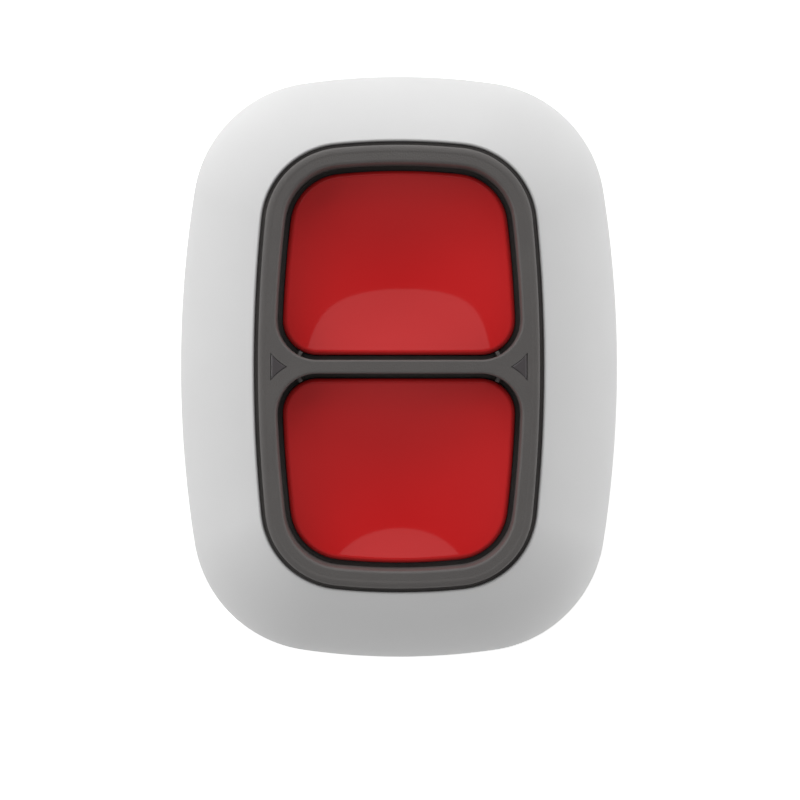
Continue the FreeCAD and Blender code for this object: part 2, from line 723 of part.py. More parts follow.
def cut_lanyard_eye(body):
    # A ring-shaped tunnel: it goes in at one hole in the end wall and comes out at the other.
    tunnel = new_sketch(body, "lanyard_eye", "0", "YZ_Plane")
    draw_circle(tunnel, f"{EYE_AXIS} - Sizes.eye_ring_radius", "Sizes.eye_height", "Sizes.eye_bore_radius")
    place, height = number(EYE_AXIS), number("Sizes.eye_height")
    line = Part.LineSegment(Vector(place, 0, 0), Vector(place, height, 0))
    upright = tunnel.addGeometry(line, True)
    tunnel.addConstraint(Sketcher.Constraint("Vertical", upright))
    place_point(tunnel, upright, 1, EYE_AXIS, "0")
    groove = body.newObject("PartDesign::Groove", "lanyard_tunnel")
    groove.Profile = tunnel
    groove.ReferenceAxis = (tunnel, ["Axis0"])
    groove.Angle = 360
    return body


# Seal: a ring that fills the groove below the tongue
def make_seal_ring():
    body = new_body("seal_ring")
    ring = new_sketch(body, "seal", GROOVE_FLOOR)
    draw_outline(ring, shrunk(CASE, "(Sizes.land_width + Sizes.seal_clearance)"))
    draw_outline(ring, shrunk(CASE, "(Sizes.land_width + Sizes.groove_width - Sizes.seal_clearance)"))
    pad(body, ring, "Sizes.groove_depth - Sizes.tongue_length")
    return body


# Screws: one turned screw with a cross recess, mirrored to the four corners
def make_case_screws():
    body = new_body("screw")
    profile = new_sketch(body, "screw_profile", "0", "XZ_Plane")
    end = f"{HEAD_SEAT} + Sizes.screw_length"
    draw_polygon(profile, [
        ("0", "Sizes.head_depth"),
        ("Sizes.head_radius", "Sizes.head_depth"),
        ("Sizes.head_radius", HEAD_SEAT),
        ("Sizes.screw_radius", HEAD_SEAT),
        ("Sizes.screw_radius", f"{end} - Sizes.screw_tip"),
        ("Sizes.screw_radius - Sizes.screw_tip", end),
        ("0", end),
    ])
    turned(body, profile)
    recess = new_sketch(body, "recess", "Sizes.head_depth")
    short, long = "Sizes.recess_width / 2", "Sizes.recess_length / 2"
    draw_polygon(recess, [
        (long, f"-{short}"), (long, short), (short, short), (short, long), (f"-{short}", long),
        (f"-{short}", short), (f"-{long}", short), (f"-{long}", f"-{short}"), (f"-{short}", f"-{short}"),
        (f"-{short}", f"-{long}"), (short, f"-{long}"), (short, f"-{short}"),
    ])
    pocket(body, recess, "Sizes.recess_depth", up=True)
    body.setExpression("Placement.Base.x", "Sizes.screw_across / 2")
    body.setExpression("Placement.Base.y", "Sizes.screw_along / 2")
    group = [body]
    for source, normal in ((0, Vector(1, 0, 0)), (0, Vector(0, 1, 0)), (1, Vector(0, 1, 0))):
        mirror = doc.addObject("Part::Mirroring", f"screw_{len(group)}")
        mirror.Source = group[source]
        mirror.Normal = normal
        group.append(mirror)
    screws = doc.addObject("Part::Compound", "case_screws")
    screws.Links = group
    return screws


# Circuit board, resting on the rear bosses and held down by the front ones
def make_circuit_board():
    body = new_body("circuit_board")
    plate = new_sketch(body, "board", "Sizes.board_bottom")
    draw_outline(plate, shrunk(CASE, "Sizes.board_inset"))
    draw_screw_circles(plate, "Sizes.screw_radius + Sizes.screw_clearance")
    pad(body, plate, "Sizes.board_thickness")
    return body


# Coin cell: the can with the smaller cap on top
def make_coin_cell():
    body = new_body("coin_cell")
    profile = new_sketch(body, "cell_profile", "0", "XZ_Plane")
    shoulder = f"({CELL_TOP} - Sizes.cell_cap_height)"
    draw_polygon(profile, [
        ("0", CLIP_TOP),
        ("Sizes.cell_radius - Sizes.cell_chamfer", CLIP_TOP),
        ("Sizes.cell_radius", f"{CLIP_TOP} + Sizes.cell_chamfer"),
        ("Sizes.cell_radius", f"{shoulder} - Sizes.cell_chamfer"),
        ("Sizes.cell_radius - Sizes.cell_chamfer", shoulder),
        ("Sizes.cell_cap_radius", shoulder),
        ("Sizes.cell_cap_radius", CELL_TOP),
        ("0", CELL_TOP),
    ])
    turned(body, profile)
    return body


# Battery clip: a bent strap that passes under the cell and hangs from the board by two feet
def make_battery_clip():
    body = new_body("battery_clip")
    profile = new_sketch(body, "strap", "0", "XZ_Plane")
    under = f"({CLIP_TOP} - Sizes.clip_thickness)"
    inner, outer = CELL_POCKET, f"({CELL_POCKET} + Sizes.clip_thickness)"
    foot = f"({outer} + Sizes.clip_foot)"
    foot_low = "(Sizes.board_bottom - Sizes.clip_thickness)"
    half = [
        (inner, CLIP_TOP), (inner, "Sizes.board_bottom"), (foot, "Sizes.board_bottom"),
        (foot, foot_low), (outer, foot_low), (outer, under),
    ]
    draw_polygon(profile, half + [(f"-{across}", along) for across, along in reversed(half)])
    pad(body, profile, "Sizes.clip_width", centred=True)
    window = new_sketch(body, "strap_window", CLIP_TOP)
    draw_circle(window, "0", "0", "Sizes.clip_window / 2")
    pocket(body, window, "Sizes.clip_thickness")
    return body


# Battery contact: a leaf soldered under the board, with bumps that press on the cell
def make_battery_contact():
    body = new_body("battery_contact")
    gap = f"(Sizes.board_bottom - {CELL_TOP})"
    leaf = new_sketch(body, "leaf", f"Sizes.board_bottom - {gap} / 2")
    half_length, half_width = "Sizes.contact_length / 2", "Sizes.contact_width / 2"
    draw_rectangle(leaf, f"-{half_length}", half_length, f"-{half_width}", half_width)
    pad(body, leaf, f"{gap} / 2")
    bumps = new_sketch(body, "bumps", CELL_TOP)
    for sign in ("-", ""):
        draw_circle(bumps, f"{sign}Sizes.contact_bump_spacing / 2", "0", "Sizes.contact_bump")
    pad(body, bumps, f"{gap} / 2")
    return body


def at_switch(body, side):
    # Pieces of a switch are drawn on the Z axis; the lower switch is the upper one turned about it.
    sign = "" if side == "upper" else "-"
    body.setExpression("Placement.Base.y", f"{sign}{SWITCH_PLACE}")
    return body


# Switch base: a square moulding with a round well
def make_switch_base(side):
    body = new_body(f"switch_{side}_base")
    half = "Sizes.switch_size / 2"
    block = new_sketch(body, f"{side}_base_block", BOARD_TOP)
    draw_rectangle(block, f"-{half}", half, f"-{half}", half)
    solid = pad(body, block, "Sizes.switch_body_height")
    corners = upright_edges(solid, half)
    rounded(body, solid, corners, "Sizes.switch_corner", f"{side}_base_corners")
    well = new_sketch(body, f"{side}_well", SWITCH_TOP)
    draw_circle(well, "0", "0", "Sizes.switch_well_radius")
    pocket(body, well, "Sizes.switch_body_height - Sizes.switch_well_floor")
    return at_switch(body, side)


# Switch cover: a steel plate over the well, folded down over two sides of the base
def make_switch_cover(side):
    body = new_body(f"switch_{side}_cover")
    half = "Sizes.switch_size / 2"
    outer = "(Sizes.switch_size / 2 + Sizes.switch_cover_thickness)"
    skirt = f"({SWITCH_TOP} - Sizes.switch_cover_skirt)"
    top = f"({SWITCH_TOP} + Sizes.switch_cover_thickness)"
    fold = new_sketch(body, f"{side}_fold", "0", "XZ_Plane")
    draw_polygon(fold, [
        (f"-{outer}", skirt), (f"-{half}", skirt), (f"-{half}", SWITCH_TOP), (half, SWITCH_TOP),
        (half, skirt), (outer, skirt), (outer, top), (f"-{outer}", top),
    ])
    pad(body, fold, "Sizes.switch_cover_tab", centred=True)
    plate = new_sketch(body, f"{side}_plate", SWITCH_TOP)
    corner = f"({half} - Sizes.switch_corner)"
    draw_rectangle(plate, f"-{corner}", corner, f"-{half}", half)
    pad(body, plate, "Sizes.switch_cover_thickness")
    hole = new_sketch(body, f"{side}_cover_hole", top)
    draw_circle(hole, "0", "0", "Sizes.plunger_radius + Sizes.plunger_clearance")
    pocket(body, hole, "Sizes.switch_cover_thickness")
    return at_switch(body, side)


# Switch dome: a thin sprung disc on the floor of the well
def make_switch_dome(side):
    body = new_body(f"switch_{side}_dome")
    profile = new_sketch(body, f"{side}_dome_profile", "0", "XZ_Plane")
    rim, rise = number("Sizes.switch_dome_radius"), number("Sizes.switch_dome_rise")
    sheet_metal = number("Sizes.switch_dome_thickness")
    ball = (rim ** 2 + rise ** 2) / (2 * rise)
    centre = Vector(0, number(WELL_FLOOR) + rise - ball, 0)
    rim_angle = math.atan2(ball - rise, rim)
    crown = Vector(0, centre.y + ball, 0)
    arcs = []
    for radius in (ball, ball - sheet_metal):
        start = math.asin((ball - rise) / radius)
        arcs.append(add_arc(profile, centre, radius, start, math.pi / 2))
        arcs_foot = Vector(radius * math.cos(start), number(WELL_FLOOR), 0)
        if radius == ball:
            outer_foot = arcs_foot
    upper, lower = arcs
    top = profile.addGeometry(Part.LineSegment(crown, crown - Vector(0, sheet_metal, 0)), False)
    foot = profile.addGeometry(Part.LineSegment(arcs_foot, outer_foot), False)
    links = ((upper, 2, top, 1), (top, 2, lower, 2), (lower, 1, foot, 1), (foot, 2, upper, 1))
    for link in links:
        profile.addConstraint(Sketcher.Constraint("Coincident", *link))
    profile.addConstraint(Sketcher.Constraint("Coincident", upper, 3, lower, 3))
    profile.addConstraint(Sketcher.Constraint("PointOnObject", upper, 3, -2))
    place_point(profile, upper, 2, "0", f"{WELL_FLOOR} + Sizes.switch_dome_rise")
    place_point(profile, upper, 1, "Sizes.switch_dome_radius", WELL_FLOOR)
    profile.addConstraint(Sketcher.Constraint("Horizontal", foot))
    profile.addConstraint(Sketcher.Constraint("PointOnObject", lower, 2, -2))
    bind(profile, Sketcher.Constraint("Distance", top, sheet_metal), "Sizes.switch_dome_thickness")
    turned(body, profile)
    return at_switch(body, side)


# Switch plunger: a stem with a flange that the cover keeps in
def make_switch_plunger(side):
    body = new_body(f"switch_{side}_plunger")
    profile = new_sketch(body, f"{side}_plunger_profile", "0", "XZ_Plane")
    flange_top = f"({SWITCH_TOP} - Sizes.plunger_play)"
    flange_bottom = f"({flange_top} - Sizes.plunger_flange)"
    draw_polygon(profile, [
        ("0", flange_bottom),
        ("Sizes.plunger_flange_radius", flange_bottom),
        ("Sizes.plunger_flange_radius", flange_top),
        ("Sizes.plunger_radius", flange_top),
        ("Sizes.plunger_radius", PLUNGER_TOP),
        ("0", PLUNGER_TOP),
    ])
    turned(body, profile)
    return at_switch(body, side)


# Keypad: a silicone sheet with a bead round its edge and a pad with a plug over each switch
def make_keypad_membrane():
    body = new_body("keypad_membrane")
    edge = shrunk(OPENING, "Sizes.membrane_clearance")
    web = new_sketch(body, "web", DECK_TOP)
    draw_outline(web, edge)
    pad(body, web, "Sizes.membrane_thickness")
    bead = new_sketch(body, "bead", MEMBRANE_TOP)
    draw_outline(bead, edge)
    draw_outline(bead, shrunk(edge, "Sizes.bead_width"))
    pad(body, bead, "Sizes.bead_height")
    pads = new_sketch(body, "pads", MEMBRANE_TOP)
    plugs = new_sketch(body, "plugs", DECK_TOP)
    for sign in ("-", ""):
        draw_circle(pads, "0", f"{sign}{SWITCH_PLACE}", "Sizes.pad_radius")
        draw_circle(plugs, "0", f"{sign}{SWITCH_PLACE}", "Sizes.plug_radius")
    pad(body, pads, f"{POST_BOTTOM} - Sizes.pad_gap - {MEMBRANE_TOP}")
    pad(body, plugs, f"{DECK_TOP} - {PLUNGER_TOP} - Sizes.pad_gap", down=True)
    holes = new_sketch(body, "membrane_holes", GUARD_BOTTOM)
    near = f"({LAMP_PLACE} - {GUIDE_FOOT_HALF} - Sizes.guide_clearance)"
    far = "(Sizes.opening_width / 2)"
    end = "(Sizes.opening_length / 2)"
    half = "(Sizes.arrow_half_height + Sizes.guide_foot_margin + Sizes.guide_clearance)"
    for sign in ("-", ""):
        draw_rectangle(holes, f"{sign}{near}", f"{sign}{far}", f"-{half}", half)
        for side in ("-", ""):
            draw_side_hook_slot(holes, sign, f"{side}Sizes.hook_side", far)
        draw_end_hook_slot(holes, sign, end)
    pocket(body, holes, "Sizes.bead_height + Sizes.membrane_thickness")
    return body


# Guard frame: a ring with a bar across its middle, rebated below for the flanges of the caps
def make_guard_frame():
    body = new_body("guard_frame")
    ring = new_sketch(body, "guard_ring", GUARD_BOTTOM)
    draw_outline(ring, shrunk(OPENING, "Sizes.guard_clearance"))
    frame = pad(body, ring, f"{GUARD_TOP} - {GUARD_BOTTOM}")
    edges = level_edges(frame, GUARD_TOP)
    rounded(body, frame, edges, "Sizes.guard_edge_fillet", "guard_edge_round")
    window = new_sketch(body, "aperture", GUARD_TOP)
    edge = "(Sizes.caps_gap / 2 - Sizes.cap_clearance)"
    inner = "(Sizes.caps_inner_radius + Sizes.cap_clearance)"
    draw_half_outline(window, grown(CAPS, "Sizes.cap_clearance"), edge, inner)
    hole = pocket(body, window, f"{GUARD_TOP} - {GUARD_BOTTOM}")
    rebate = new_sketch(body, "rebate", GUARD_BOTTOM)
    spread = "(Sizes.flange_width + Sizes.flange_clearance)"
    draw_half_outline(rebate, grown(CAPS, spread), "(Sizes.flange_start - Sizes.flange_clearance)")
    step = pocket(body, rebate, f"{FLANGE_TOP} + Sizes.flange_clearance - {GUARD_BOTTOM}", up=True)
    both = mirrored(body, [hole, step], "XZ_Plane", "lower_aperture")
    rims = level_edges(both, GUARD_TOP, CAPS, 2 * number("Sizes.cap_clearance"))
    rounded(body, both, rims, "Sizes.aperture_fillet", "aperture_round")
    arrows = new_sketch(body, "arrow_windows", GUARD_TOP)
    for sign in (-1, 1):
        draw_arrow(arrows, sign, "Sizes.arrow_clearance")
    pocket(body, arrows, f"{GUARD_TOP} - {GUARD_BOTTOM}")
    for place in ("-Sizes.hook_side", "Sizes.hook_side"):
        name = "hooks_low" if place.startswith("-") else "hooks_high"
        hooks = new_sketch(body, name, place, "XZ_Plane")
        draw_hook_pair(hooks, SIDE_HOOK_FACE)
        pad(body, hooks, "Sizes.hook_width", centred=True)
    ends = new_sketch(body, "hooks_ends", "0", "YZ_Plane")
    draw_hook_pair(ends, END_HOOK_FACE)
    pad(body, ends, "Sizes.hook_width", centred=True)
    return body


def draw_hook_pair(sketch, face):
    catch = "(Sizes.deck_bottom - Sizes.hook_clearance)"
    inner, outer = f"({face} - Sizes.hook_thickness)", f"({face} + Sizes.hook_reach)"
    for sign in ("-", ""):
        draw_polygon(sketch, [
            (f"{sign}{inner}", GUARD_BOTTOM),
            (f"{sign}{inner}", HOOK_BOTTOM),
            (f"{sign}{face}", HOOK_BOTTOM),
            (f"{sign}{outer}", f"{catch} - Sizes.hook_flat"),
            (f"{sign}{outer}", catch),
            (f"{sign}{face}", catch),
            (f"{sign}{face}", GUARD_BOTTOM),
        ])


def mirrored(body, features, role, name):
    mirror = body.newObject("PartDesign::Mirrored", name)
    mirror.Originals = features
    mirror.MirrorPlane = (origin_plane(body, role), [""])
    body.Tip = mirror
    return mirror


def half_turned(body, side, kept):
    # The pieces for the other side are the same mouldings turned half round about the Z axis.
    if side != kept:
        body.Placement = Placement(Vector(0, 0, 0), Rotation(Vector(0, 0, 1), 180))
    return body


# Indicator: an arrow window on a foot below the guard, drawn down to the lamp as a light guide
def make_indicator(side):
    body = new_body(f"indicator_{side}")
    arrow = new_sketch(body, f"{side}_arrow", GUARD_BOTTOM)
    draw_arrow(arrow, 1, "0")
    pad(body, arrow, f"{GUARD_TOP} - Sizes.arrow_depth - {GUARD_BOTTOM}")
    foot = new_sketch(body, f"{side}_guide_foot", GUARD_BOTTOM)
    half = "(Sizes.arrow_half_height + Sizes.guide_foot_margin)"
    left, right = f"{LAMP_PLACE} - {GUIDE_FOOT_HALF}", f"{LAMP_PLACE} + {GUIDE_FOOT_HALF}"
    draw_rectangle(foot, left, right, f"-{half}", half)
    pad(body, foot, "Sizes.guide_foot_thickness", down=True)
    guide = new_sketch(body, f"{side}_guide", f"{GUARD_BOTTOM} - Sizes.guide_foot_thickness")
    left, right = f"{LAMP_PLACE} - Sizes.guide_width / 2", f"{LAMP_PLACE} + Sizes.guide_width / 2"
    draw_rectangle(guide, left, right, "-Sizes.guide_breadth / 2", "Sizes.guide_breadth / 2")
    lamp_top = f"({BOARD_TOP} + Sizes.lamp_base + Sizes.lamp_lens)"
    drop = f"{GUARD_BOTTOM} - Sizes.guide_foot_thickness - {lamp_top} - Sizes.guide_gap"
    pad(body, guide, drop, down=True)
    return half_turned(body, side, "right")


# Lamp: a small base with a raised lens
def make_lamp(side):
    body = new_body(f"led_{side}")
    sign = "" if side == "right" else "-"
    base = new_sketch(body, f"{side}_lamp_base", BOARD_TOP)
    half_width, half_length = "Sizes.lamp_width / 2", "Sizes.lamp_length / 2"
    draw_rectangle(base, f"-{half_width}", half_width, f"-{half_length}", half_length)
    pad(body, base, "Sizes.lamp_base")
    lens = new_sketch(body, f"{side}_lamp_lens", f"{BOARD_TOP} + Sizes.lamp_base")
    inner = "(Sizes.lamp_length / 2 - Sizes.lamp_lens)"
    draw_rectangle(lens, f"-{half_width}", half_width, f"-{inner}", inner)
    pad(body, lens, "Sizes.lamp_lens")
    body.setExpression("Placement.Base.x", f"{sign}{LAMP_PLACE}")
    return body


# Cap: a rounded block with a dished top, hollow below, flanged on three sides, with a post on ribs
def make_cap(side):
    blank = new_body(f"cap_{side}_blank")
    outline = new_sketch(blank, f"{side}_cap_outline", SKIRT_BOTTOM)
    draw_half_outline(outline, CAPS, "Sizes.caps_gap / 2", "Sizes.caps_inner_radius")
    pad(blank, outline, f"Sizes.cap_rim_height - {SKIRT_BOTTOM}")
    dish = doc.addObject("Part::Feature", f"{side}_dish")
    dish.Shape = dish_tool()
    dished = doc.addObject("Part::Cut", f"cap_{side}_dished")
    dished.Base = blank
    dished.Tool = dish
    doc.recompute()
    body = new_body(f"cap_{side}")
    body.BaseFeature = dished
    doc.recompute()
    base = body.Tip
    lowest_rim = number("Sizes.cap_rim_height - Sizes.dish_depth / 3")
    rims = edge_names(base, lambda edge: edge.BoundBox.ZMin > lowest_rim)
    rounded(body, base, rims, "Sizes.cap_rim_fillet", f"{side}_rim_round")
    flange = new_sketch(body, f"{side}_flange", SKIRT_BOTTOM)
    draw_half_outline(flange, grown(CAPS, "Sizes.flange_width"), "Sizes.flange_start")
    pad(body, flange, "Sizes.flange_thickness")
    hollow = new_sketch(body, f"{side}_hollow", CAP_UNDERSIDE)
    edge, inner = "(Sizes.caps_gap / 2 + Sizes.cap_wall)", "(Sizes.caps_inner_radius - Sizes.cap_wall)"
    draw_half_outline(hollow, shrunk(CAPS, "Sizes.cap_wall"), edge, inner)
    pocket(body, hollow, f"{CAP_UNDERSIDE} - {SKIRT_BOTTOM}")
    post = new_sketch(body, f"{side}_post", POST_BOTTOM)
    draw_circle(post, "0", SWITCH_PLACE, "Sizes.cap_post_radius")
    pad(body, post, "Sizes.cap_post_length")
    rib = "Sizes.cap_rib / 2"
    reach = "(Sizes.caps_width / 2 - Sizes.cap_wall / 2)"
    near, far = "(Sizes.caps_gap / 2 + Sizes.cap_wall / 2)", "(Sizes.caps_length / 2 - Sizes.cap_wall / 2)"
    across = new_sketch(body, f"{side}_rib_across", POST_BOTTOM)
    draw_rectangle(across, f"-{reach}", reach, f"{SWITCH_PLACE} - {rib}", f"{SWITCH_PLACE} + {rib}")
    pad(body, across, "Sizes.cap_post_length")
    along = new_sketch(body, f"{side}_rib_along", POST_BOTTOM)
    draw_rectangle(along, f"-{rib}", rib, near, far)
    pad(body, along, "Sizes.cap_post_length")
    return half_turned(body, side, "upper")


def dish_tool():
    # The dish is a patch of the second degree both ways: level with the rim along the four sides
    # of the cap and deepest in the middle. It is carried past the sides and drawn upwards.
    spread = 1.15
    rim, depth = number("Sizes.cap_rim_height"), number("Sizes.dish_depth")
    half_width = number("Sizes.caps_width / 2")
    middle = number("(Sizes.caps_length / 2 + Sizes.caps_gap / 2) / 2")
    half_length = number("(Sizes.caps_length / 2 - Sizes.caps_gap / 2) / 2")
    bend = (1 - spread ** 2, 1 + spread ** 2, 1 - spread ** 2)
    surface = Part.BezierSurface()
    surface.increase(2, 2)
    for row, across in enumerate((-spread, 0, spread)):
        for column, along in enumerate((-spread, 0, spread)):
            height = rim - depth * bend[row] * bend[column]
            pole = Vector(across * half_width, middle + along * half_length, height)
            surface.setPole(row + 1, column + 1, pole)
    return surface.toShape().extrude(Vector(0, 0, rim))


# Shield can: a drawn steel box over the radio, open below
def make_shield_can():
    body = new_body("shield_can")
    shell = new_sketch(body, "can_shell", BOARD_TOP)
    half_width, half_breadth = "Sizes.can_width / 2", "Sizes.can_breadth / 2"
    draw_rectangle(shell, f"-{half_width}", half_width, f"-{half_breadth}", half_breadth)
    block = pad(body, shell, "Sizes.can_height")
    rounded(body, block, upright_edges(block, "0"), "Sizes.can_corner", "can_corners")
    room = new_sketch(body, "can_room", BOARD_TOP)
    across, along = f"({half_width} - Sizes.can_sheet)", f"({half_breadth} - Sizes.can_sheet)"
    draw_rectangle(room, f"-{across}", across, f"-{along}", along)
    pocket(body, room, "Sizes.can_height - Sizes.can_sheet", up=True)
    holes = new_sketch(body, "can_holes", f"{BOARD_TOP} + Sizes.can_height")
    for across in ("-Sizes.can_hole_spacing", "0", "Sizes.can_hole_spacing"):
        for sign in ("-", ""):
            draw_circle(holes, across, f"{sign}Sizes.can_hole_spacing / 2", "Sizes.can_hole_radius")
    pocket(body, holes, "Sizes.can_sheet")
    return body


# Control chip, under the board between the cell wall and the end, with a round mark at one corner
def make_control_chip():
    body = new_body("control_chip")
    half = "Sizes.chip_size / 2"
    low = "(Sizes.board_bottom - Sizes.chip_height)"
    block = new_sketch(body, "chip_block", low)
    draw_rectangle(block, f"-{half}", half, f"-{half}", half)
    pad(body, block, "Sizes.chip_height")
    mark = new_sketch(body, "chip_mark", low)
    place = f"({half} - 2 * Sizes.chip_mark_radius)"
    draw_circle(mark, place, place, "Sizes.chip_mark_radius")
    pocket(body, mark, "Sizes.chip_mark_radius / 2", up=True)
    body.setExpression("Placement.Base.y", f"-({CELL_WALL_FACE} + {BOARD_END}) / 2")
    return body


# Crystal: a ceramic tray with a smaller metal lid
def make_crystal():
    body = new_body("crystal")
    half_length, half_width = "Sizes.crystal_length / 2", "Sizes.crystal_width / 2"
    tray = new_sketch(body, "tray", BOARD_TOP)
    draw_rectangle(tray, f"-{half_length}", half_length, f"-{half_width}", half_width)
    pad(body, tray, "Sizes.crystal_height - Sizes.crystal_lid_margin")
    lid = new_sketch(body, "lid", f"{BOARD_TOP} + Sizes.crystal_height - Sizes.crystal_lid_margin")
    across = f"({half_length} - Sizes.crystal_lid_margin)"
    along = f"({half_width} - Sizes.crystal_lid_margin)"
    draw_rectangle(lid, f"-{across}", across, f"-{along}", along)
    pad(body, lid, "Sizes.crystal_lid_margin")
    body.setExpression("Placement.Base.x", f"Sizes.can_width / 2 + Sizes.crystal_gap + {half_length}")
    body.setExpression("Placement.Base.y", f"Sizes.crystal_setback - {SWITCH_PLACE}")
    return body


# Antenna: a strip that stands on the board on two legs, lower than the hooks that come through the deck
def make_antenna():
    body = new_body("antenna")
    strip = new_sketch(body, "strip", f"Sizes.antenna_edge - {BOARD_END}", "XZ_Plane")
    left, right = "(-Sizes.antenna_span / 2)", "(Sizes.antenna_span / 2)"
    inner, feed = f"({left} + Sizes.antenna_strip)", f"({left} + Sizes.antenna_feed)"
    feed_end = f"({feed} + Sizes.antenna_strip)"
    top = f"({HOOK_BOTTOM} - Sizes.antenna_clearance)"
    under = f"({top} - Sizes.antenna_strip)"
    draw_polygon(strip, [
        (left, BOARD_TOP), (inner, BOARD_TOP), (inner, under), (feed, under), (feed, BOARD_TOP),
        (feed_end, BOARD_TOP), (feed_end, under), (right, under), (right, top), (left, top),
    ])
    pad(body, strip, "Sizes.antenna_sheet", centred=True)
    return body


# Small chip components in rows on both faces of the board
def make_chip_components():
    beside = "(Sizes.switch_size / 2 + Sizes.component_beside)"
    under = "(Sizes.board_bottom - Sizes.component_height)"
    top_row = f"(Sizes.component_edge - {BOARD_END})"
    under_row = f"(({CELL_WALL_FACE} + {EYE_BLOCK_NEAR}) / 2)"
    places = [(f"{step} * Sizes.component_pitch", top_row, BOARD_TOP) for step in
              (-2.5, -1.5, -0.5, 0.5, 1.5, 2.5)]
    places += [(f"{step} * Sizes.component_pitch", under_row, under) for step in
               (-1.5, -0.5, 0.5, 1.5)]
    places += [(f"{across}{beside}", f"{along}{SWITCH_PLACE}", BOARD_TOP) for across in ("-", "")
               for along in ("-", "")]
    chips = []
    for across, along, level in places:
        chip = doc.addObject("Part::Box", f"component_{len(chips) + 1}")
        chip.setExpression("Length", "Sizes.component_width")
        chip.setExpression("Width", "Sizes.component_length")
        chip.setExpression("Height", "Sizes.component_height")
        chip.setExpression("Placement.Base.x", f"{across} - Sizes.component_width / 2")
        chip.setExpression("Placement.Base.y", f"{along} - Sizes.component_length / 2")
        chip.setExpression("Placement.Base.z", level)
        chips.append(chip)
    group = doc.addObject("Part::Compound", "chip_components")
    group.Links = chips
    return group


parts = [
    make_front_shell(),
    make_rear_cover(),
    make_seal_ring(),
    make_case_screws(),
    make_guard_frame(),
    make_keypad_membrane(),
    make_circuit_board(),
    make_coin_cell(),
    make_battery_clip(),
    make_battery_contact(),
    make_shield_can(),
    make_control_chip(),
    make_crystal(),
    make_antenna(),
    make_chip_components(),
]
for side in ("upper", "lower"):
    parts += [make_cap(side), make_switch_base(side), make_switch_cover(side)]
    parts += [make_switch_dome(side), make_switch_plunger(side)]
for side in ("left", "right"):
    parts += [make_indicator(side), make_lamp(side)]
doc.recompute()

failed = [item.Name for item in doc.Objects if {"Invalid", "Error"} & set(item.State)]
failed += [part.Label for part in parts if part.Shape.isNull() or not part.Shape.isValid()]
if failed:
    raise ValueError(f"these objects failed: {failed}")
os.makedirs("parts", exist_ok=True)
for part in parts:
    part.Shape.exportStep(f"parts/{part.Label}.step")
    print(f"{part.Label}: {len(part.Shape.Solids)} solid, {part.Shape.Volume:.1f} mm3")
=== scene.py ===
import bpy
import math
import numpy as np
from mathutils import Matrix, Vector
from mathutils.geometry import delaunay_2d_cdt


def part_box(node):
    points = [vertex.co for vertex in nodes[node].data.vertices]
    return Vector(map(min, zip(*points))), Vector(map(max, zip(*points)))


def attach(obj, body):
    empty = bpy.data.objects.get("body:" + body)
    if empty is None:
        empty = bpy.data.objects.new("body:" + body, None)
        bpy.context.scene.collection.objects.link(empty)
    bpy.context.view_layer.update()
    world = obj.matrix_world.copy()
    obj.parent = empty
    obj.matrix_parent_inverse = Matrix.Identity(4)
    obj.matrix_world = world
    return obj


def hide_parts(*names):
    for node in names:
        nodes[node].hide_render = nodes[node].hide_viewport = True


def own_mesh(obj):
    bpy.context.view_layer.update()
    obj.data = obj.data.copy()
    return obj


# Panic button: a white pillow casing, a dark guard frame and two red dished caps.
# Lengths are in millimetres and angles in degrees until a mesh is made. Z goes up through the caps.

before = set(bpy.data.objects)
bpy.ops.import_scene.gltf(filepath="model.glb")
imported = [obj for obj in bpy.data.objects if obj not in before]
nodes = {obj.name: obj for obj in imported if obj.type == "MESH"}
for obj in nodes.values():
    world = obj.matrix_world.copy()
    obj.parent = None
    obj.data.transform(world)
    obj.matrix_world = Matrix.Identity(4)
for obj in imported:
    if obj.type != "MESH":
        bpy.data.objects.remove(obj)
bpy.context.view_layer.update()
mm = 0.001
fineStep = 1e-4  # mm, points closer than this become one
hair = 1e-3  # a step small enough to read a slope from
tiny = 1e-12  # keeps a division by nothing away


def reachOf(node):
    # Highest corner of a CAD node in mm, so that a piece is exactly as large as its node.
    return np.array(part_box(node)[1]) / mm


# Outlines. Every outline is a chain of arcs that touch, so a point on it is an arc's centre plus
# its radius along the angle of the outline's normal.

def arcPoints(centreX, centreY, radius, start, stop, steps):
    # Centre plus radius times the cosine and sine of an angle that goes evenly from start to stop.
    # Start and stop may be arrays, with one value for each of several outlines.
    share = np.linspace(0, 1, steps)
    angle = np.multiply.outer(1 - share, start) + np.multiply.outer(share, stop)
    return centreX + radius * np.cos(angle), centreY + radius * np.sin(angle), angle


def cornerOf(form):
    # The corner arc touches a side arc centred on X and an end arc centred on Y. Its centre is as
    # far from each of theirs as the radii differ, so it is where two circles cross.
    width, length, side, end, corner = form
    across, along = side - width, end - length
    between = np.hypot(across, along)
    near, far = side - corner, end - corner
    reach = (near ** 2 - far ** 2 + between ** 2) / (2 * between)
    rise = np.sqrt(near ** 2 - reach ** 2)
    centreX = -across + (reach * across + rise * along) / between
    centreY = (rise * across - reach * along) / between
    low = np.arctan2(centreY, centreX + across)
    high = np.arctan2(centreY + along, centreX)
    return across, along, centreX, centreY, low, high


def joined(parts):
    # Arcs end to end, each one's last point left out but for the last arc's.
    kept = [[column[:-1] for column in part] for part in parts[:-1]] + [list(parts[-1])]
    return [np.concatenate(columns) for columns in zip(*kept)]


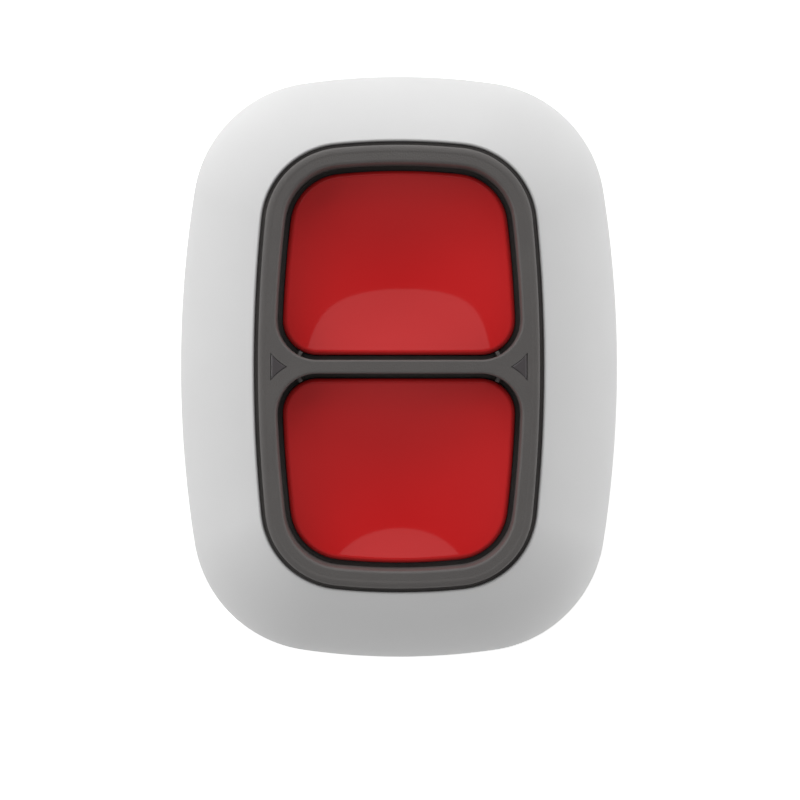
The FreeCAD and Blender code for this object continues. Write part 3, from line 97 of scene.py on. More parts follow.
def wholeLoop(form, steps):
    # Side arc, corner arc and end arc, and their three mirror images. A form is half the width,
    # half the length and the radii of the side, the end and the corner.
    form = [np.asarray(value, float) for value in form]
    across, along, cornerX, cornerY, low, high = cornerOf(form)
    x, y, angle = joined([
        arcPoints(-across, 0, form[2], 0 * low, low, steps[0]),
        arcPoints(cornerX, cornerY, form[4], low, high, steps[1]),
        arcPoints(0, -along, form[3], high, 0 * high + math.pi / 2, steps[2]),
    ])
    backX, backY, backAngle = x[:0:-1], y[:0:-1], angle[:0:-1]
    x, y, angle = x[:-1], y[:-1], angle[:-1]
    turn = math.pi
    return np.stack([
        np.concatenate([x, -backX, -x, backX]),
        np.concatenate([y, backY, -y, -backY]),
        np.concatenate([angle, turn - backAngle, turn + angle, 2 * turn - backAngle]),
    ])


def halfLoop(form, edge, inner, steps):
    # The +Y half of an outline, closed by a straight line at Y = edge. Each inner corner arc
    # touches that line and the side arc, so its centre is the inner radius from both.
    across, along, cornerX, cornerY, low, high = cornerOf(form)
    side, end, corner = form[2:]
    innerX = math.sqrt((side - inner) ** 2 - (edge + inner) ** 2) - across
    start = math.atan2(edge + inner, innerX + across)
    straight = np.linspace(0, innerX, steps[0])
    down = -math.pi / 2
    right = joined([
        (straight, 0 * straight + edge, 0 * straight + down),
        arcPoints(innerX, edge + inner, inner, down, start, steps[1]),
        arcPoints(-across, 0, side, start, low, steps[2]),
        arcPoints(cornerX, cornerY, corner, low, high, steps[1]),
        arcPoints(0, -along, end, high, math.pi / 2, steps[0]),
    ])
    x, y, angle = right
    return np.stack([
        np.concatenate([x, -x[-2:0:-1]]),
        np.concatenate([y, y[-2:0:-1]]),
        np.concatenate([angle, math.pi - angle[-2:0:-1]]),
    ])


def circleLoop(centreX, centreY, radius, steps):
    # Centre plus radius along each angle of a full turn.
    angle = np.linspace(0, 2 * math.pi, steps, endpoint=False)
    return np.stack([centreX + radius * np.cos(angle), centreY + radius * np.sin(angle), angle])


def offsetLoop(loop, amount):
    # Each point moved out along its normal, by one amount or by one for each point.
    x, y, angle = loop
    return np.stack([x + amount * np.cos(angle), y + amount * np.sin(angle), angle])


# Sheets. A sheet is a grid of points and normals. The profile runs so that the way round the loop,
# crossed with the way along the profile, points out of the material.

def sheet(points, normals, closed=True):
    # A grid of points, with each normal divided by its length. A closed one joins its last column
    # to its first.
    lengths = np.linalg.norm(normals, axis=-1, keepdims=True)
    return {"points": points, "normals": normals / np.maximum(lengths, tiny), "closed": closed}


def carried(loop, offsets, heights, leans):
    # A profile carried round a loop. A point is the loop's point plus an offset along its normal,
    # at a height, and its own normal leans above the loop's by an angle.
    x, y, angle = loop
    offsets, heights, leans = (
        np.broadcast_to(np.asarray(value, float).reshape(len(offsets), -1), (len(offsets), len(x)))
        for value in (offsets, heights, leans)
    )
    points = np.stack([x + offsets * np.cos(angle), y + offsets * np.sin(angle), heights], -1)
    level = np.cos(leans)
    normals = np.stack([level * np.cos(angle), level * np.sin(angle), np.sin(leans)], -1)
    return sheet(points, normals)


def wall(loop, start, stop):
    # A straight stretch of profile between two points, each an offset and a height, with its normal
    # square to it.
    lean = math.atan2(start[0] - stop[0], stop[1] - start[1])
    return carried(loop, (start[0], stop[0]), (start[1], stop[1]), (lean, lean))


def band(loop, offsets, heights, lean):
    # The same where the two offsets or heights may change on the way round the loop.
    offsets, heights = ([np.broadcast_to(end, len(loop[0])) for end in ends]
                        for ends in (offsets, heights))
    return carried(loop, offsets, heights, (lean, lean))


def roundEdge(loop, centre, radius, start, stop, steps, squash=1.0):
    # A convex edge: its offset is the centre's plus the radius times the cosine, and its height the
    # centre's plus the squashed radius times the sine. The normal's slope is the sine over the
    # squashed cosine.
    lean = np.radians(np.linspace(start, stop, steps))[:, None]
    radius = np.broadcast_to(np.asarray(radius, float), (len(loop[0]),))[None, :]
    offsets = np.asarray(centre[0]) + radius * np.cos(lean)
    heights = np.asarray(centre[1]) + radius * np.sin(lean) * squash
    normal = np.arctan2(np.sin(lean), np.cos(lean) * squash)
    return carried(loop, offsets, heights, np.broadcast_to(normal, offsets.shape))


def path(loop, corners):
    # Straight stretches through several corners of a profile, with hard edges between them.
    return [wall(loop, start, stop) for start, stop in zip(corners[:-1], corners[1:])]


def turnedHalf(item):
    # The same sheet or flat, turned half round about Z.
    turn = np.array([-1.0, -1.0, 1.0])
    return {**item, "points": item["points"] * turn, "normals": item["normals"] * turn}


def flat(loops, height, up=True):
    # A level face between loops. It is cut into triangles that keep every loop's edges, and a
    # triangle stays if a line from its middle towards +X crosses an odd number of those edges.
    outlines = [np.asarray(loop)[:2].T for loop in loops]
    flatPoints = np.concatenate(outlines)
    edges, base = [], 0
    for outline in outlines:
        index = np.arange(len(outline)) + base
        edges += np.stack([index, np.roll(index, -1)], 1).tolist()
        base += len(outline)
    same = fineStep / 1000  # corners nearer than this would be taken for one
    _, _, faces, sources, _, _ = delaunay_2d_cdt(
        [Vector(point) for point in flatPoints], edges, [], 0, same)
    triangles = np.array([ids[0] for ids in sources])[np.array(faces)]
    middle = flatPoints[triangles].mean(1)
    starts, stops = flatPoints[np.array(edges)[:, 0]], flatPoints[np.array(edges)[:, 1]]
    above = (starts[None, :, 1] > middle[:, None, 1]) != (stops[None, :, 1] > middle[:, None, 1])
    rise = stops[:, 1] - starts[:, 1]
    slope = (stops[:, 0] - starts[:, 0]) / np.where(np.abs(rise) < tiny, tiny, rise)
    crossing = starts[None, :, 0] + (middle[:, None, 1] - starts[None, :, 1]) * slope[None, :]
    inside = (above & (crossing > middle[:, None, 0])).sum(1) % 2 == 1
    triangles = triangles[inside]
    first, second, third = (flatPoints[triangles[:, column]] for column in range(3))
    side, other = second - first, third - first
    area = side[:, 0] * other[:, 1] - side[:, 1] * other[:, 0]
    wrong = area < 0 if up else area > 0
    triangles[wrong] = triangles[wrong][:, ::-1]
    points = np.column_stack([flatPoints, np.full(len(flatPoints), height)])
    normals = np.tile([0.0, 0.0, 1.0 if up else -1.0], (len(points), 1))
    return {"points": points, "normals": normals, "triangles": triangles}


def extruded(outline, bottom, top, into=np.eye(3), shift=(0, 0, 0)):
    # A closed prism on a polygon listed counterclockwise: four-cornered sides and two flat ends. A
    # matrix turns it and a shift moves it.
    outline = np.asarray(outline, float)
    following = np.roll(outline, -1, 0)
    sides = []
    for start, stop in zip(outline, following):
        corners = np.array([[[*end, height] for end in (start, stop)] for height in (bottom, top)])
        away = np.array([stop[1] - start[1], start[0] - stop[0], 0.0])
        sides.append(sheet(corners, np.tile(away, (2, 2, 1)), closed=False))
    loop = np.vstack([outline.T, 0 * outline[:, 0]])
    made = sides + [flat([loop], top), flat([loop], bottom, up=False)]
    for item in made:
        item["points"] = item["points"] @ np.asarray(into, float).T + np.asarray(shift, float)
        item["normals"] = item["normals"] @ np.asarray(into, float).T
    return made


def block(low, high):
    # A box between its lowest and its highest corner: a prism on a rectangle.
    corners = [(low[0], low[1]), (high[0], low[1]), (high[0], high[1]), (low[0], high[1])]
    return extruded(corners, low[2], high[2])


def makeMesh(name, items):
    # One mesh of all sheets and flats. Points that round to the same step become one, faces lose
    # the corners that fall together, and each face keeps its own sheet's normals, so that round
    # edges shade smoothly beside level faces.
    points, normals, faces, base = [], [], [], 0
    for item in items:
        if "triangles" in item:
            index = item["triangles"] + base
            faces.append(np.column_stack([index, index[:, 2]]))
        else:
            rows, columns = item["points"].shape[:2]
            grid = np.arange(rows * columns).reshape(rows, columns) + base
            after = np.roll(grid, -1, 1) if item["closed"] else grid[:, 1:]
            here = grid if item["closed"] else grid[:, :-1]
            quads = np.stack([here[:-1], after[:-1], after[1:], here[1:]], -1)
            kept = ~item["gaps"] if "gaps" in item else np.ones(quads.shape[:2], bool)
            faces.append(quads[kept])
        points.append(item["points"].reshape(-1, 3))
        normals.append(item["normals"].reshape(-1, 3))
        base += len(points[-1])
    points, normals, faces = np.concatenate(points), np.concatenate(normals), np.concatenate(faces)
    keys = np.round(points / fineStep).astype(np.int64)
    _, first, merged = np.unique(keys, axis=0, return_index=True, return_inverse=True)
    corners = merged.reshape(-1)[faces]
    fresh = corners != np.roll(corners, 1, 1)
    counts = fresh.sum(1)
    solid = counts >= 3
    corners, faces, fresh, counts = corners[solid], faces[solid], fresh[solid], counts[solid]
    loops, loopNormals = corners[fresh], normals[faces[fresh]]
    mesh = bpy.data.meshes.new(name)
    mesh.vertices.add(len(first))
    mesh.vertices.foreach_set("co", (points[first] * mm).astype(np.float32).ravel())
    mesh.loops.add(len(loops))
    mesh.loops.foreach_set("vertex_index", loops.astype(np.int32))
    mesh.polygons.add(len(counts))
    mesh.polygons.foreach_set("loop_start", (np.cumsum(counts) - counts).astype(np.int32))
    mesh.update(calc_edges=True)
    changed = mesh.validate(verbose=False)
    mesh.shade_smooth()
    if not changed:
        mesh.normals_split_custom_set(loopNormals.tolist())
    print(f"{name}: {len(first)} points, {len(counts)} faces, repaired: {changed}")
    return mesh


def addPiece(name, items, body, replaced, finish):
    # A new object that rides on a body and stands for a CAD node.
    piece = bpy.data.objects.new(name, makeMesh(name, items))
    bpy.context.scene.collection.objects.link(piece)
    piece.data.materials.append(materials[finish])
    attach(piece, body)
    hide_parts(replaced)
    return piece


# Materials

def linear(hexColour):
    # sRGB hex to linear light: near black a straight line, and above it a power of 2.4. Alpha is 1.
    channels = [int(hexColour[place:place + 2], 16) / 255 for place in (1, 3, 5)]
    return [value / 12.92 if value <= 0.04045 else ((value + 0.055) / 1.055) ** 2.4
            for value in channels] + [1]


def addNode(tree, kind, inputs=None, **settings):
    # Adds a node. An input that is another node's output gets a link, and any other gets its value.
    node = tree.nodes.new(kind)
    for key, value in settings.items():
        setattr(node, key, value)
    for key, value in (inputs or {}).items():
        if isinstance(value, bpy.types.NodeSocket):
            tree.links.new(value, node.inputs[key])
        else:
            node.inputs[key].default_value = value
    return node


def startMaterial(name):
    # An empty material, and the place on the piece that its patterns read.
    material = bpy.data.materials.new(name)
    material.use_nodes = True
    tree = material.node_tree
    tree.nodes.clear()
    place = addNode(tree, "ShaderNodeTexCoord").outputs["Object"]
    return material, tree, place


def grainScale(millimetres):
    # A pattern's scale is one over the size of its features, in metres.
    return 1 / (millimetres * mm)


def shadedSurface(start, look, drift, spread, relief, sockets):
    # The colour goes from one value to the other with one pattern, and the roughness goes from
    # below its middle to as far above it with another. Inputs 6 and 7 of a Mix are its colours.
    material, tree, _ = start
    tint = addNode(tree, "ShaderNodeMix", {
        0: drift.outputs["Fac"], 6: linear(look["colour"]), 7: linear(look["drift"])},
        data_type="RGBA")
    rough = addNode(tree, "ShaderNodeMapRange", {
        "Value": spread.outputs["Fac"], "To Min": look["rough"] - look["roughSpread"],
        "To Max": look["rough"] + look["roughSpread"]})
    shader = addNode(tree, "ShaderNodeBsdfPrincipled", {
        "Base Color": tint.outputs[2], "Roughness": rough.outputs["Result"],
        "Normal": relief.outputs["Normal"], **sockets})
    addNode(tree, "ShaderNodeOutputMaterial", {"Surface": shader.outputs[0]})
    return material


def mouldedSurface(name, look):
    # Injection-moulded plastic or rubber. A fine eroded grain breaks up the gloss, a slow ripple
    # from shrinkage bends the reflections, and the colour drifts a little with the pigment's depth.
    start = startMaterial(name)
    _, tree, place = start
    grain = addNode(tree, "ShaderNodeTexNoise", {
        "Vector": place, "Scale": grainScale(look["grain"]), "Detail": 3.0, "Roughness": 0.6})
    ripple = addNode(tree, "ShaderNodeTexNoise", {
        "Vector": place, "Scale": grainScale(look["ripple"]), "Detail": 1.0})
    slow = addNode(tree, "ShaderNodeBump", {
        "Height": ripple.outputs["Fac"], "Strength": 1.0, "Distance": look["rippleDepth"] * mm})
    fine = addNode(tree, "ShaderNodeBump", {
        "Height": grain.outputs["Fac"], "Strength": 1.0, "Distance": look["grainDepth"] * mm,
        "Normal": slow.outputs["Normal"]})
    sockets = {"IOR": look["ior"], **look.get("sockets", {})}
    return shadedSurface(start, look, ripple, grain, fine, sockets)


def metalSurface(name, look):
    # Rolled or turned metal. Long fine scratches from rolling lie one way, and the plating's
    # brightness drifts over a millimetre or so.
    start = startMaterial(name)
    _, tree, place = start
    lines = addNode(tree, "ShaderNodeMapping", {"Vector": place, "Scale": look["stretch"]})
    scratch = addNode(tree, "ShaderNodeTexNoise", {
        "Vector": lines.outputs[0], "Scale": grainScale(look["scratch"]), "Detail": 4.0})
    cloud = addNode(tree, "ShaderNodeTexNoise", {
        "Vector": place, "Scale": grainScale(look["cloud"]), "Detail": 2.0})
    fine = addNode(tree, "ShaderNodeBump", {
        "Height": scratch.outputs["Fac"], "Strength": 1.0, "Distance": look["depth"] * mm})
    return shadedSurface(start, look, cloud, scratch, fine, {"Metallic": 1.0})


# Grain, ripple, scratch and cloud are the sizes of features in mm, and depths are in mm too. The
# guard's and the casing's grain is drawn coarser than the real 0.05 mm, so that it shows.

looks = {
    # ASA, moulded in an eroded tool: white, dry to the eye, with a soft wide sheen
    "casingAsa": {"colour": "#DEDEDE", "drift": "#DADADA", "grain": 0.12, "ripple": 6.0,
                  "rough": 0.62, "roughSpread": 0.05, "grainDepth": 0.004, "rippleDepth": 0.004,
                  "ior": 1.5},
    # PC and ABS blend, moulded in a finely eroded tool: dark grey with a satin sheen on its edges
    "guardPolycarbonate": {"colour": "#5D5A58", "drift": "#565352", "grain": 0.14, "ripple": 3.0,
                           "rough": 0.62, "roughSpread": 0.08, "grainDepth": 0.028,
                           "rippleDepth": 0.003, "ior": 1.52},
    # ABS, moulded in a polished tool: a deep red with a clear mirror-like gloss
    "capAbs": {"colour": "#DA2224", "drift": "#D62022", "grain": 0.25, "ripple": 5.0, "rough": 0.05,
               "roughSpread": 0.015, "grainDepth": 0.0001, "rippleDepth": 0.001, "ior": 1.52},
    # Acrylic with a smoke dye: a dark window that lets a little light through
    "windowAcrylic": {"colour": "#625D5F", "drift": "#5E595B", "grain": 0.2, "ripple": 1.5,
                      "rough": 0.3, "roughSpread": 0.03, "grainDepth": 0.001, "rippleDepth": 0.001,
                      "ior": 1.49, "sockets": {"Transmission Weight": 0.35}},
    # Silicone rubber: grey, dull, with a powdery bloom
    "keypadSilicone": {"colour": "#5E5E61", "drift": "#58585B", "grain": 0.1, "ripple": 2.0,
                       "rough": 0.7, "roughSpread": 0.06, "grainDepth": 0.004, "rippleDepth": 0.003,
                       "ior": 1.41},
    # EPDM rubber: black, dull and slightly open
    "sealRubber": {"colour": "#222222", "drift": "#1D1D1E", "grain": 0.08, "ripple": 1.5,
                   "rough": 0.78, "roughSpread": 0.06, "grainDepth": 0.006, "rippleDepth": 0.003,
                   "ior": 1.48},
    # PBT: the black, faintly fibrous moulding of a switch
    "switchPbt": {"colour": "#1E1E1F", "drift": "#262627", "grain": 0.06, "ripple": 0.8,
                  "rough": 0.5, "roughSpread": 0.08, "grainDepth": 0.002, "rippleDepth": 0.002,
                  "ior": 1.55},
    # Nylon in its natural cream: waxy, and lets light in under the skin
    "plungerNylon": {"colour": "#D9D5C6", "drift": "#D2CDBB", "grain": 0.08, "ripple": 0.9,
                     "rough": 0.42, "roughSpread": 0.05, "grainDepth": 0.002,
                     "rippleDepth": 0.002, "ior": 1.53,
                     "sockets": {"Subsurface Weight": 0.2, "Subsurface Scale": 0.0006}},
    # Epoxy over a pale lamp chip: clear, yellowish and wet-looking
    "lampEpoxy": {"colour": "#EDE3B4", "drift": "#F2EBC8", "grain": 0.1, "ripple": 0.5,
                  "rough": 0.12, "roughSpread": 0.03, "grainDepth": 0.0005, "rippleDepth": 0.001,
                  "ior": 1.54, "sockets": {"Transmission Weight": 0.3}},
    # Moulding compound of a chip: black, matte, with pale filler grains
    "chipCompound": {"colour": "#18181A", "drift": "#2A2A2C", "grain": 0.05, "ripple": 0.2,
                     "rough": 0.6, "roughSpread": 0.1, "grainDepth": 0.003, "rippleDepth": 0.001,
                     "ior": 1.56},
    # Fired ceramic with tinned ends: brownish white, with a fine sintered grain
    "partCeramic": {"colour": "#B9A07A", "drift": "#D8D2C4", "grain": 0.05, "ripple": 0.7,
                    "rough": 0.45, "roughSpread": 0.1, "grainDepth": 0.002, "rippleDepth": 0.001,
                    "ior": 1.65},
}
metalLooks = {
    # Nickel-plated steel of a pressed battery can: bright, with a fine lapped haze
    "cellSteel": {"colour": "#D6D5D2", "drift": "#C9C8C4", "stretch": (1, 1, 6), "scratch": 0.12,
                  "cloud": 3.0, "rough": 0.24, "roughSpread": 0.06, "depth": 0.0008},
    # Nickel-plated spring strip: rolled, with its scratches drawn coarse enough to show
    "springSteel": {"colour": "#C9C5BB", "drift": "#BDB8AC", "stretch": (1, 10, 10), "scratch": 0.4,
                    "cloud": 1.5, "rough": 0.3, "roughSpread": 0.08, "depth": 0.001},
    # Zinc-plated screws: a bluish passivated skin
    "screwZinc": {"colour": "#BFC4CA", "drift": "#B4B6B2", "stretch": (1, 1, 8), "scratch": 0.15,
                  "cloud": 0.8, "rough": 0.34, "roughSpread": 0.08, "depth": 0.001},
}

board = {"pitch": 2.54, "weave": 3.0, "cloud": 2.0, "mask": "#14502B", "maskDrift": "#17562F",
         "thinMask": "#1A5C34", "track": "#2B7A48", "trackDepth": 0.02, "weaveDepth": 0.003,
         "rough": 0.28, "ior": 1.55}


def boardLaminate(name):
    # Glass-fibre board under a green solder mask: copper tracks and pads lie under the mask as a
    # paler net on a 1.27 mm grid, and the weave of the glass shows as a fine ripple.
    material, tree, place = startMaterial(name)
    net = addNode(tree, "ShaderNodeTexBrick", {
        "Vector": place, "Scale": grainScale(board["pitch"]), "Mortar Size": 0.09,
        "Mortar Smooth": 0.2, "Brick Width": 1.0, "Row Height": 0.5,
        "Color1": linear(board["mask"]), "Color2": linear(board["maskDrift"]),
        "Mortar": linear(board["track"])}, offset=0.5)
    weave = addNode(tree, "ShaderNodeTexWave", {
        "Vector": place, "Scale": grainScale(board["weave"]), "Distortion": 1.5, "Detail": 2.0})
    cloud = addNode(tree, "ShaderNodeTexNoise", {
        "Vector": place, "Scale": grainScale(board["cloud"])})
    tint = addNode(tree, "ShaderNodeMix", {
        0: cloud.outputs["Fac"], 6: net.outputs["Color"], 7: linear(board["thinMask"])},
        data_type="RGBA")
    relief = addNode(tree, "ShaderNodeBump", {
        "Height": net.outputs["Fac"], "Strength": 1.0, "Distance": board["trackDepth"] * mm})
    fine = addNode(tree, "ShaderNodeBump", {
        "Height": weave.outputs["Fac"], "Strength": 1.0, "Distance": board["weaveDepth"] * mm,
        "Normal": relief.outputs["Normal"]})
    shader = addNode(tree, "ShaderNodeBsdfPrincipled", {
        "Base Color": tint.outputs[2], "Roughness": board["rough"], "IOR": board["ior"],
        "Normal": fine.outputs["Normal"]})
    addNode(tree, "ShaderNodeOutputMaterial", {"Surface": shader.outputs[0]})
    return material


materials = {name: mouldedSurface(name, look) for name, look in looks.items()}
materials.update({name: metalSurface(name, look) for name, look in metalLooks.items()})
materials["boardLaminate"] = boardLaminate("boardLaminate")
print("materials:", len(materials))

# Casing. Both skins pass from the casing's outline to a smaller one: at the angle a on an elliptic
# arc the outline has moved inward by 1 - cos a and upward by sin a, both scaled to end at the far
# one.

casing = {
    "form": [reachOf("front_shell")[0], reachOf("front_shell")[1], 91.6, 53.9, 10.4],
    "top": reachOf("front_shell")[2],
    "parting": 7.0,  # the height where the two shells meet
    "frontArc": 58.0,  # how far each skin goes along its arc
    "backArc": 60.0,
    "back": [10.4, 16.8, 91.6, 53.9, 5.5],
    "opening": [11.12, 17.3, 114.0, 48.0, 6.35],
    "lipRadius": 0.14,
    "lipGuess": 60.0,  # the slope of the lip's start is found from here
    "lipTries": 20,
    "seamHeight": 0.12,  # half of the fine groove where they meet
    "seamDepth": 0.15,
    "seamRound": 0.08,
    "collarWall": 1.2,
    "rimWall": 2.6,
    "hollowTop": 13.0,
    "hollowArc": 42.0,
    "floorTop": 1.6,
    "floorMargin": 0.7,
    "floorArc": 56.0,
    "deckTop": 10.2,
    "deckBottom": 9.4,
    "land": 0.9,  # from the outline in to the seal's groove
    "groove": 0.9,
    "grooveDepth": 1.5,
    "tongue": 0.65,  # of the front shell, down into that groove
    "tongueClearance": 0.05,
    "ribs": (-13.4, -4.6, 4.6, 13.4),
    "ribHalf": 0.45,
    "ribBottom": 10.1,
    "ribSetback": 0.4,
    "cellWall": (10.3, 11.1),
    "cellWallTop": 4.6,
    "clipGap": 3.8,
    "sink": 0.1,  # how deep a foot goes into what carries it
    "loopSteps": (26, 26, 20),
    "skinSteps": 56,
    "edgeSteps": 5,
    "lipSteps": 14,
    "hollowSteps": 14,
    "floorSteps": 20,
    "holeSteps": 40,
}


def grown(form, amount):
    # A form moved out everywhere by one amount: its sizes and its radii grow alike.
    return [value + amount for value in form]


def formAt(first, second, arc, angle):
    # The form at an angle of the arc: the first plus (1 - cos angle) / (1 - cos arc) of the way to
    # the second.
    share = (1 - np.cos(np.radians(angle))) / (1 - math.cos(math.radians(arc)))
    return [a + (b - a) * share for a, b in zip(first, second)]


def skinPoints(first, second, low, high, arc, angles, steps):
    # Rings of a skin at the given angles of its arc, each at the height low plus
    # sin angle / sin arc of the way to high.
    heights = low + (high - low) * np.sin(np.radians(angles)) / math.sin(math.radians(arc))
    x, y, around = wholeLoop(formAt(first, second, arc, angles), steps)
    return np.stack([x.T, y.T, np.broadcast_to(heights[:, None], x.T.shape)], -1), around.T


def skin(first, second, low, high, arc, angles, steps):
    # The same rings as a sheet. The normal is the way round crossed with the way up, found from
    # rings a hair to each side.
    points, around = skinPoints(first, second, low, high, arc, angles, steps)
    above, _ = skinPoints(first, second, low, high, arc, angles + hair, steps)
    below, _ = skinPoints(first, second, low, high, arc, angles - hair, steps)
    way = np.stack([-np.sin(around), np.cos(around), 0 * around], -1)
    direction = 1 if angles[-1] > angles[0] else -1
    return sheet(points, np.cross(way, (above - below) * direction))


def angleAt(low, high, arc, height):
    # The angle of the arc at a height: its sine is the share of the rise times the arc's sine.
    return math.degrees(math.asin((height - low) / (high - low) * math.sin(math.radians(arc))))


def lipStart():
    # The lip is an arc that leaves the skin at the skin's own slope. The slope gives the place
    # where the skin ends, and that place gives the slope again, until both have settled.
    radius, lean = casing["lipRadius"], casing["lipGuess"]
    width = casing["form"][0] - casing["opening"][0]
    arc = math.radians(casing["frontArc"])
    for _ in range(casing["lipTries"]):
        reach = radius * (1 + math.cos(math.radians(lean)))
        level = casing["top"] - radius * (1 - math.sin(math.radians(lean)))
        run = (width - reach) * math.sin(arc) / (1 - math.cos(arc))
        rise = (level - casing["parting"]) * math.cos(arc) / math.sin(arc)
        lean = 90 - math.degrees(math.atan2(rise, run))
    return reach, level, lean


def roundHole(centreX, centreY, radius, low, high):
    # The wall of a hole, a circle carried down so that it faces inward, and the circle.
    loop = circleLoop(centreX, centreY, radius, casing["holeSteps"])
    return wall(loop, (0, high), (0, low)), loop


def tube(centreX, centreY, outer, inner, low, high):
    # A closed boss with a bore: a rectangle carried round a circle.
    loop = circleLoop(centreX, centreY, 0, casing["holeSteps"])
    return path(loop, [(outer, low), (outer, high), (inner, high), (inner, low), (outer, low)])


def boxHole(left, right, near, far, low, high):
    # The four walls of a slot, a prism on a rectangle listed clockwise so that it faces inward, and
    # the slot's outline.
    outline = np.array([(left, near), (left, far), (right, far), (right, near)], float)
    sides = [item for item in extruded(outline, low, high) if "triangles" not in item]
    return sides, np.vstack([outline.T, 0 * outline[:, 0]])


screws = {"across": 7.2, "along": 12.6, "radius": 0.85, "clearance": 0.1, "wall": 1.2,
          "head": 1.6, "seat": 1.3, "boardBottom": 6.0, "boardTop": 7.0}
screwPlaces = [(x, y) for x in (-screws["across"], screws["across"])
               for y in (-screws["along"], screws["along"])]
switchPlace = 8.0  # from the middle to each switch
hooks = {"side": 9.0, "halfWidth": 1.05, "sideNear": 9.465, "sideFar": 10.415,
         "endNear": 16.0, "endFar": 16.95}
lampSlot = {"place": 9.175, "halfWidth": 0.8, "halfLength": 1.1}
plungerHole = 3.25  # radius, round a switch


def makeFrontShell():
    # Skin, lip, collar, hollow and tongue are profiles carried round the casing's or the opening's
    # outline, and together they close.
    steps, parting, arc = casing["loopSteps"], casing["parting"], casing["frontArc"]
    form, opening, rimWall = casing["form"], casing["opening"], casing["rimWall"]
    deckTop, deckBottom = casing["deckTop"], casing["deckBottom"]
    lip, lipCentre = casing["lipRadius"], casing["top"] - casing["lipRadius"]
    loop = wholeLoop(form, steps)
    mouth = wholeLoop(opening, steps)
    reach, level, lean = lipStart()
    seam = parting + casing["seamHeight"]
    edge = casing["seamRound"]
    start = angleAt(parting, level, arc, seam + edge)
    far = grown(opening, reach)
    angles = start + (arc - start) * np.linspace(0, 1, casing["skinSteps"])
    seamLoop = wholeLoop(formAt(form, far, arc, start), steps)
    items = [
        roundEdge(seamLoop, (-edge, seam + edge), edge, -90, 0, casing["edgeSteps"]),
        skin(form, far, parting, level, arc, angles, steps),
        roundEdge(mouth, (lip, lipCentre), lip, lean, 180, casing["lipSteps"]),
    ]
    items += path(mouth, [(0, lipCentre), (0, deckBottom), (casing["collarWall"], deckBottom)])
    collar, rim = grown(opening, casing["collarWall"]), grown(form, -rimWall)
    items.append(wall(wholeLoop(collar, steps), (0, deckBottom), (0, casing["hollowTop"])))
    items.append(skin(rim, collar, parting, casing["hollowTop"], casing["hollowArc"],
                      np.linspace(casing["hollowArc"], 0, casing["hollowSteps"]), steps))
    outer = -casing["land"] - casing["tongueClearance"]
    inner = -casing["land"] - casing["groove"] + casing["tongueClearance"]
    tip = parting - casing["tongue"]
    depth = -casing["seamDepth"]
    items += path(loop, [(-rimWall, parting), (inner, parting), (inner, tip), (outer, tip),
                         (outer, parting), (depth, parting), (depth, seam)])
    items.append(flat([offsetLoop(seamLoop, -edge), offsetLoop(loop, depth)], seam, up=False))
    # The deck closes the collar, a quarter of the way into its wall, and has holes for the
    # switches, the light guides and the guard's hooks.
    outline = offsetLoop(mouth, casing["collarWall"] / 4)
    holes = [outline]
    for sign in (-1, 1):
        side, hole = roundHole(0, sign * switchPlace, plungerHole, deckBottom, deckTop)
        items.append(side)
        holes.append(hole)
        lamp = sign * lampSlot["place"]
        slots = [(lamp - lampSlot["halfWidth"], lamp + lampSlot["halfWidth"],
                  -lampSlot["halfLength"], lampSlot["halfLength"])]
        ends = sorted((sign * hooks["endNear"], sign * hooks["endFar"]))
        slots.append((-hooks["halfWidth"], hooks["halfWidth"], *ends))
        reachX = sorted((sign * hooks["sideNear"], sign * hooks["sideFar"]))
        for along in (-hooks["side"], hooks["side"]):
            slots.append((*reachX, along - hooks["halfWidth"], along + hooks["halfWidth"]))
        for slot in slots:
            sides, hole = boxHole(*slot, deckBottom, deckTop)
            items += sides
            holes.append(hole)
    items += [flat(holes, deckTop), flat(holes, deckBottom, up=False)]
    items.append(wall(outline, (0, deckBottom), (0, deckTop)))
    for x, y in screwPlaces:
        items += tube(x, y, screws["radius"] + screws["wall"], screws["radius"], screws["boardTop"],
                      deckBottom)
    # Stiffening ribs tie the collar to the skin. Each ends where the side's arc has come in by
    # about y squared over twice its radius.
    for y in casing["ribs"]:
        near = opening[0] + casing["collarWall"] / 2
        far = form[0] - y ** 2 / 2 / form[2] - rimWall - casing["ribSetback"]
        for left, right in ((near, far), (-far, -near)):
            items += block((left, y - casing["ribHalf"], casing["ribBottom"]),
                           (right, y + casing["ribHalf"], casing["hollowTop"]))
    return items


# Lanyard eye: a tunnel bent round an upright axis, with two mouths in the +Y end of the rear skin.
# A window of the skin's grid, so many steps from the middle and between two angles of the arc,
# makes room for each mouth.

eye = {
    "axis": 22.9,
    "ring": 3.4,
    "bore": 1.0,
    "height": 3.8,
    "window": (4, 14),
    "windowArc": (11.5, 36.0),
    "patchSteps": 7,
    "tunnelSteps": 24,
    "turnRange": (0.3, 2.2),  # radians, between which the mouth is found
    "halvings": 40,
    "blockLow": (-5.4, 17.5, 2.4),
    "blockHigh": (5.4, 20.7, 5.6),
}


def quarterAngle(place, low, high):
    # Angle of the outline's normal at a place counted in grid steps from the side to the end. It
    # grows evenly along each of the three arcs.
    first, second, third = (count - 1 for count in casing["loopSteps"])
    onSide = place / first * low
    onCorner = low + (place - first) / second * (high - low)
    onEnd = high + (place - first - second) / third * (math.pi / 2 - high)
    return np.where(place < first, onSide, np.where(place < first + second, onCorner, onEnd))


def quarterPlace(angle, low, high):
    # The same, turned round: the place on the grid of a normal's angle.
    first, second, third = (count - 1 for count in casing["loopSteps"])
    onSide = angle / low * first
    onCorner = first + (angle - low) / (high - low) * second
    onEnd = first + second + (angle - high) / (math.pi / 2 - high) * third
    return np.where(angle < low, onSide, np.where(angle < high, onCorner, onEnd))


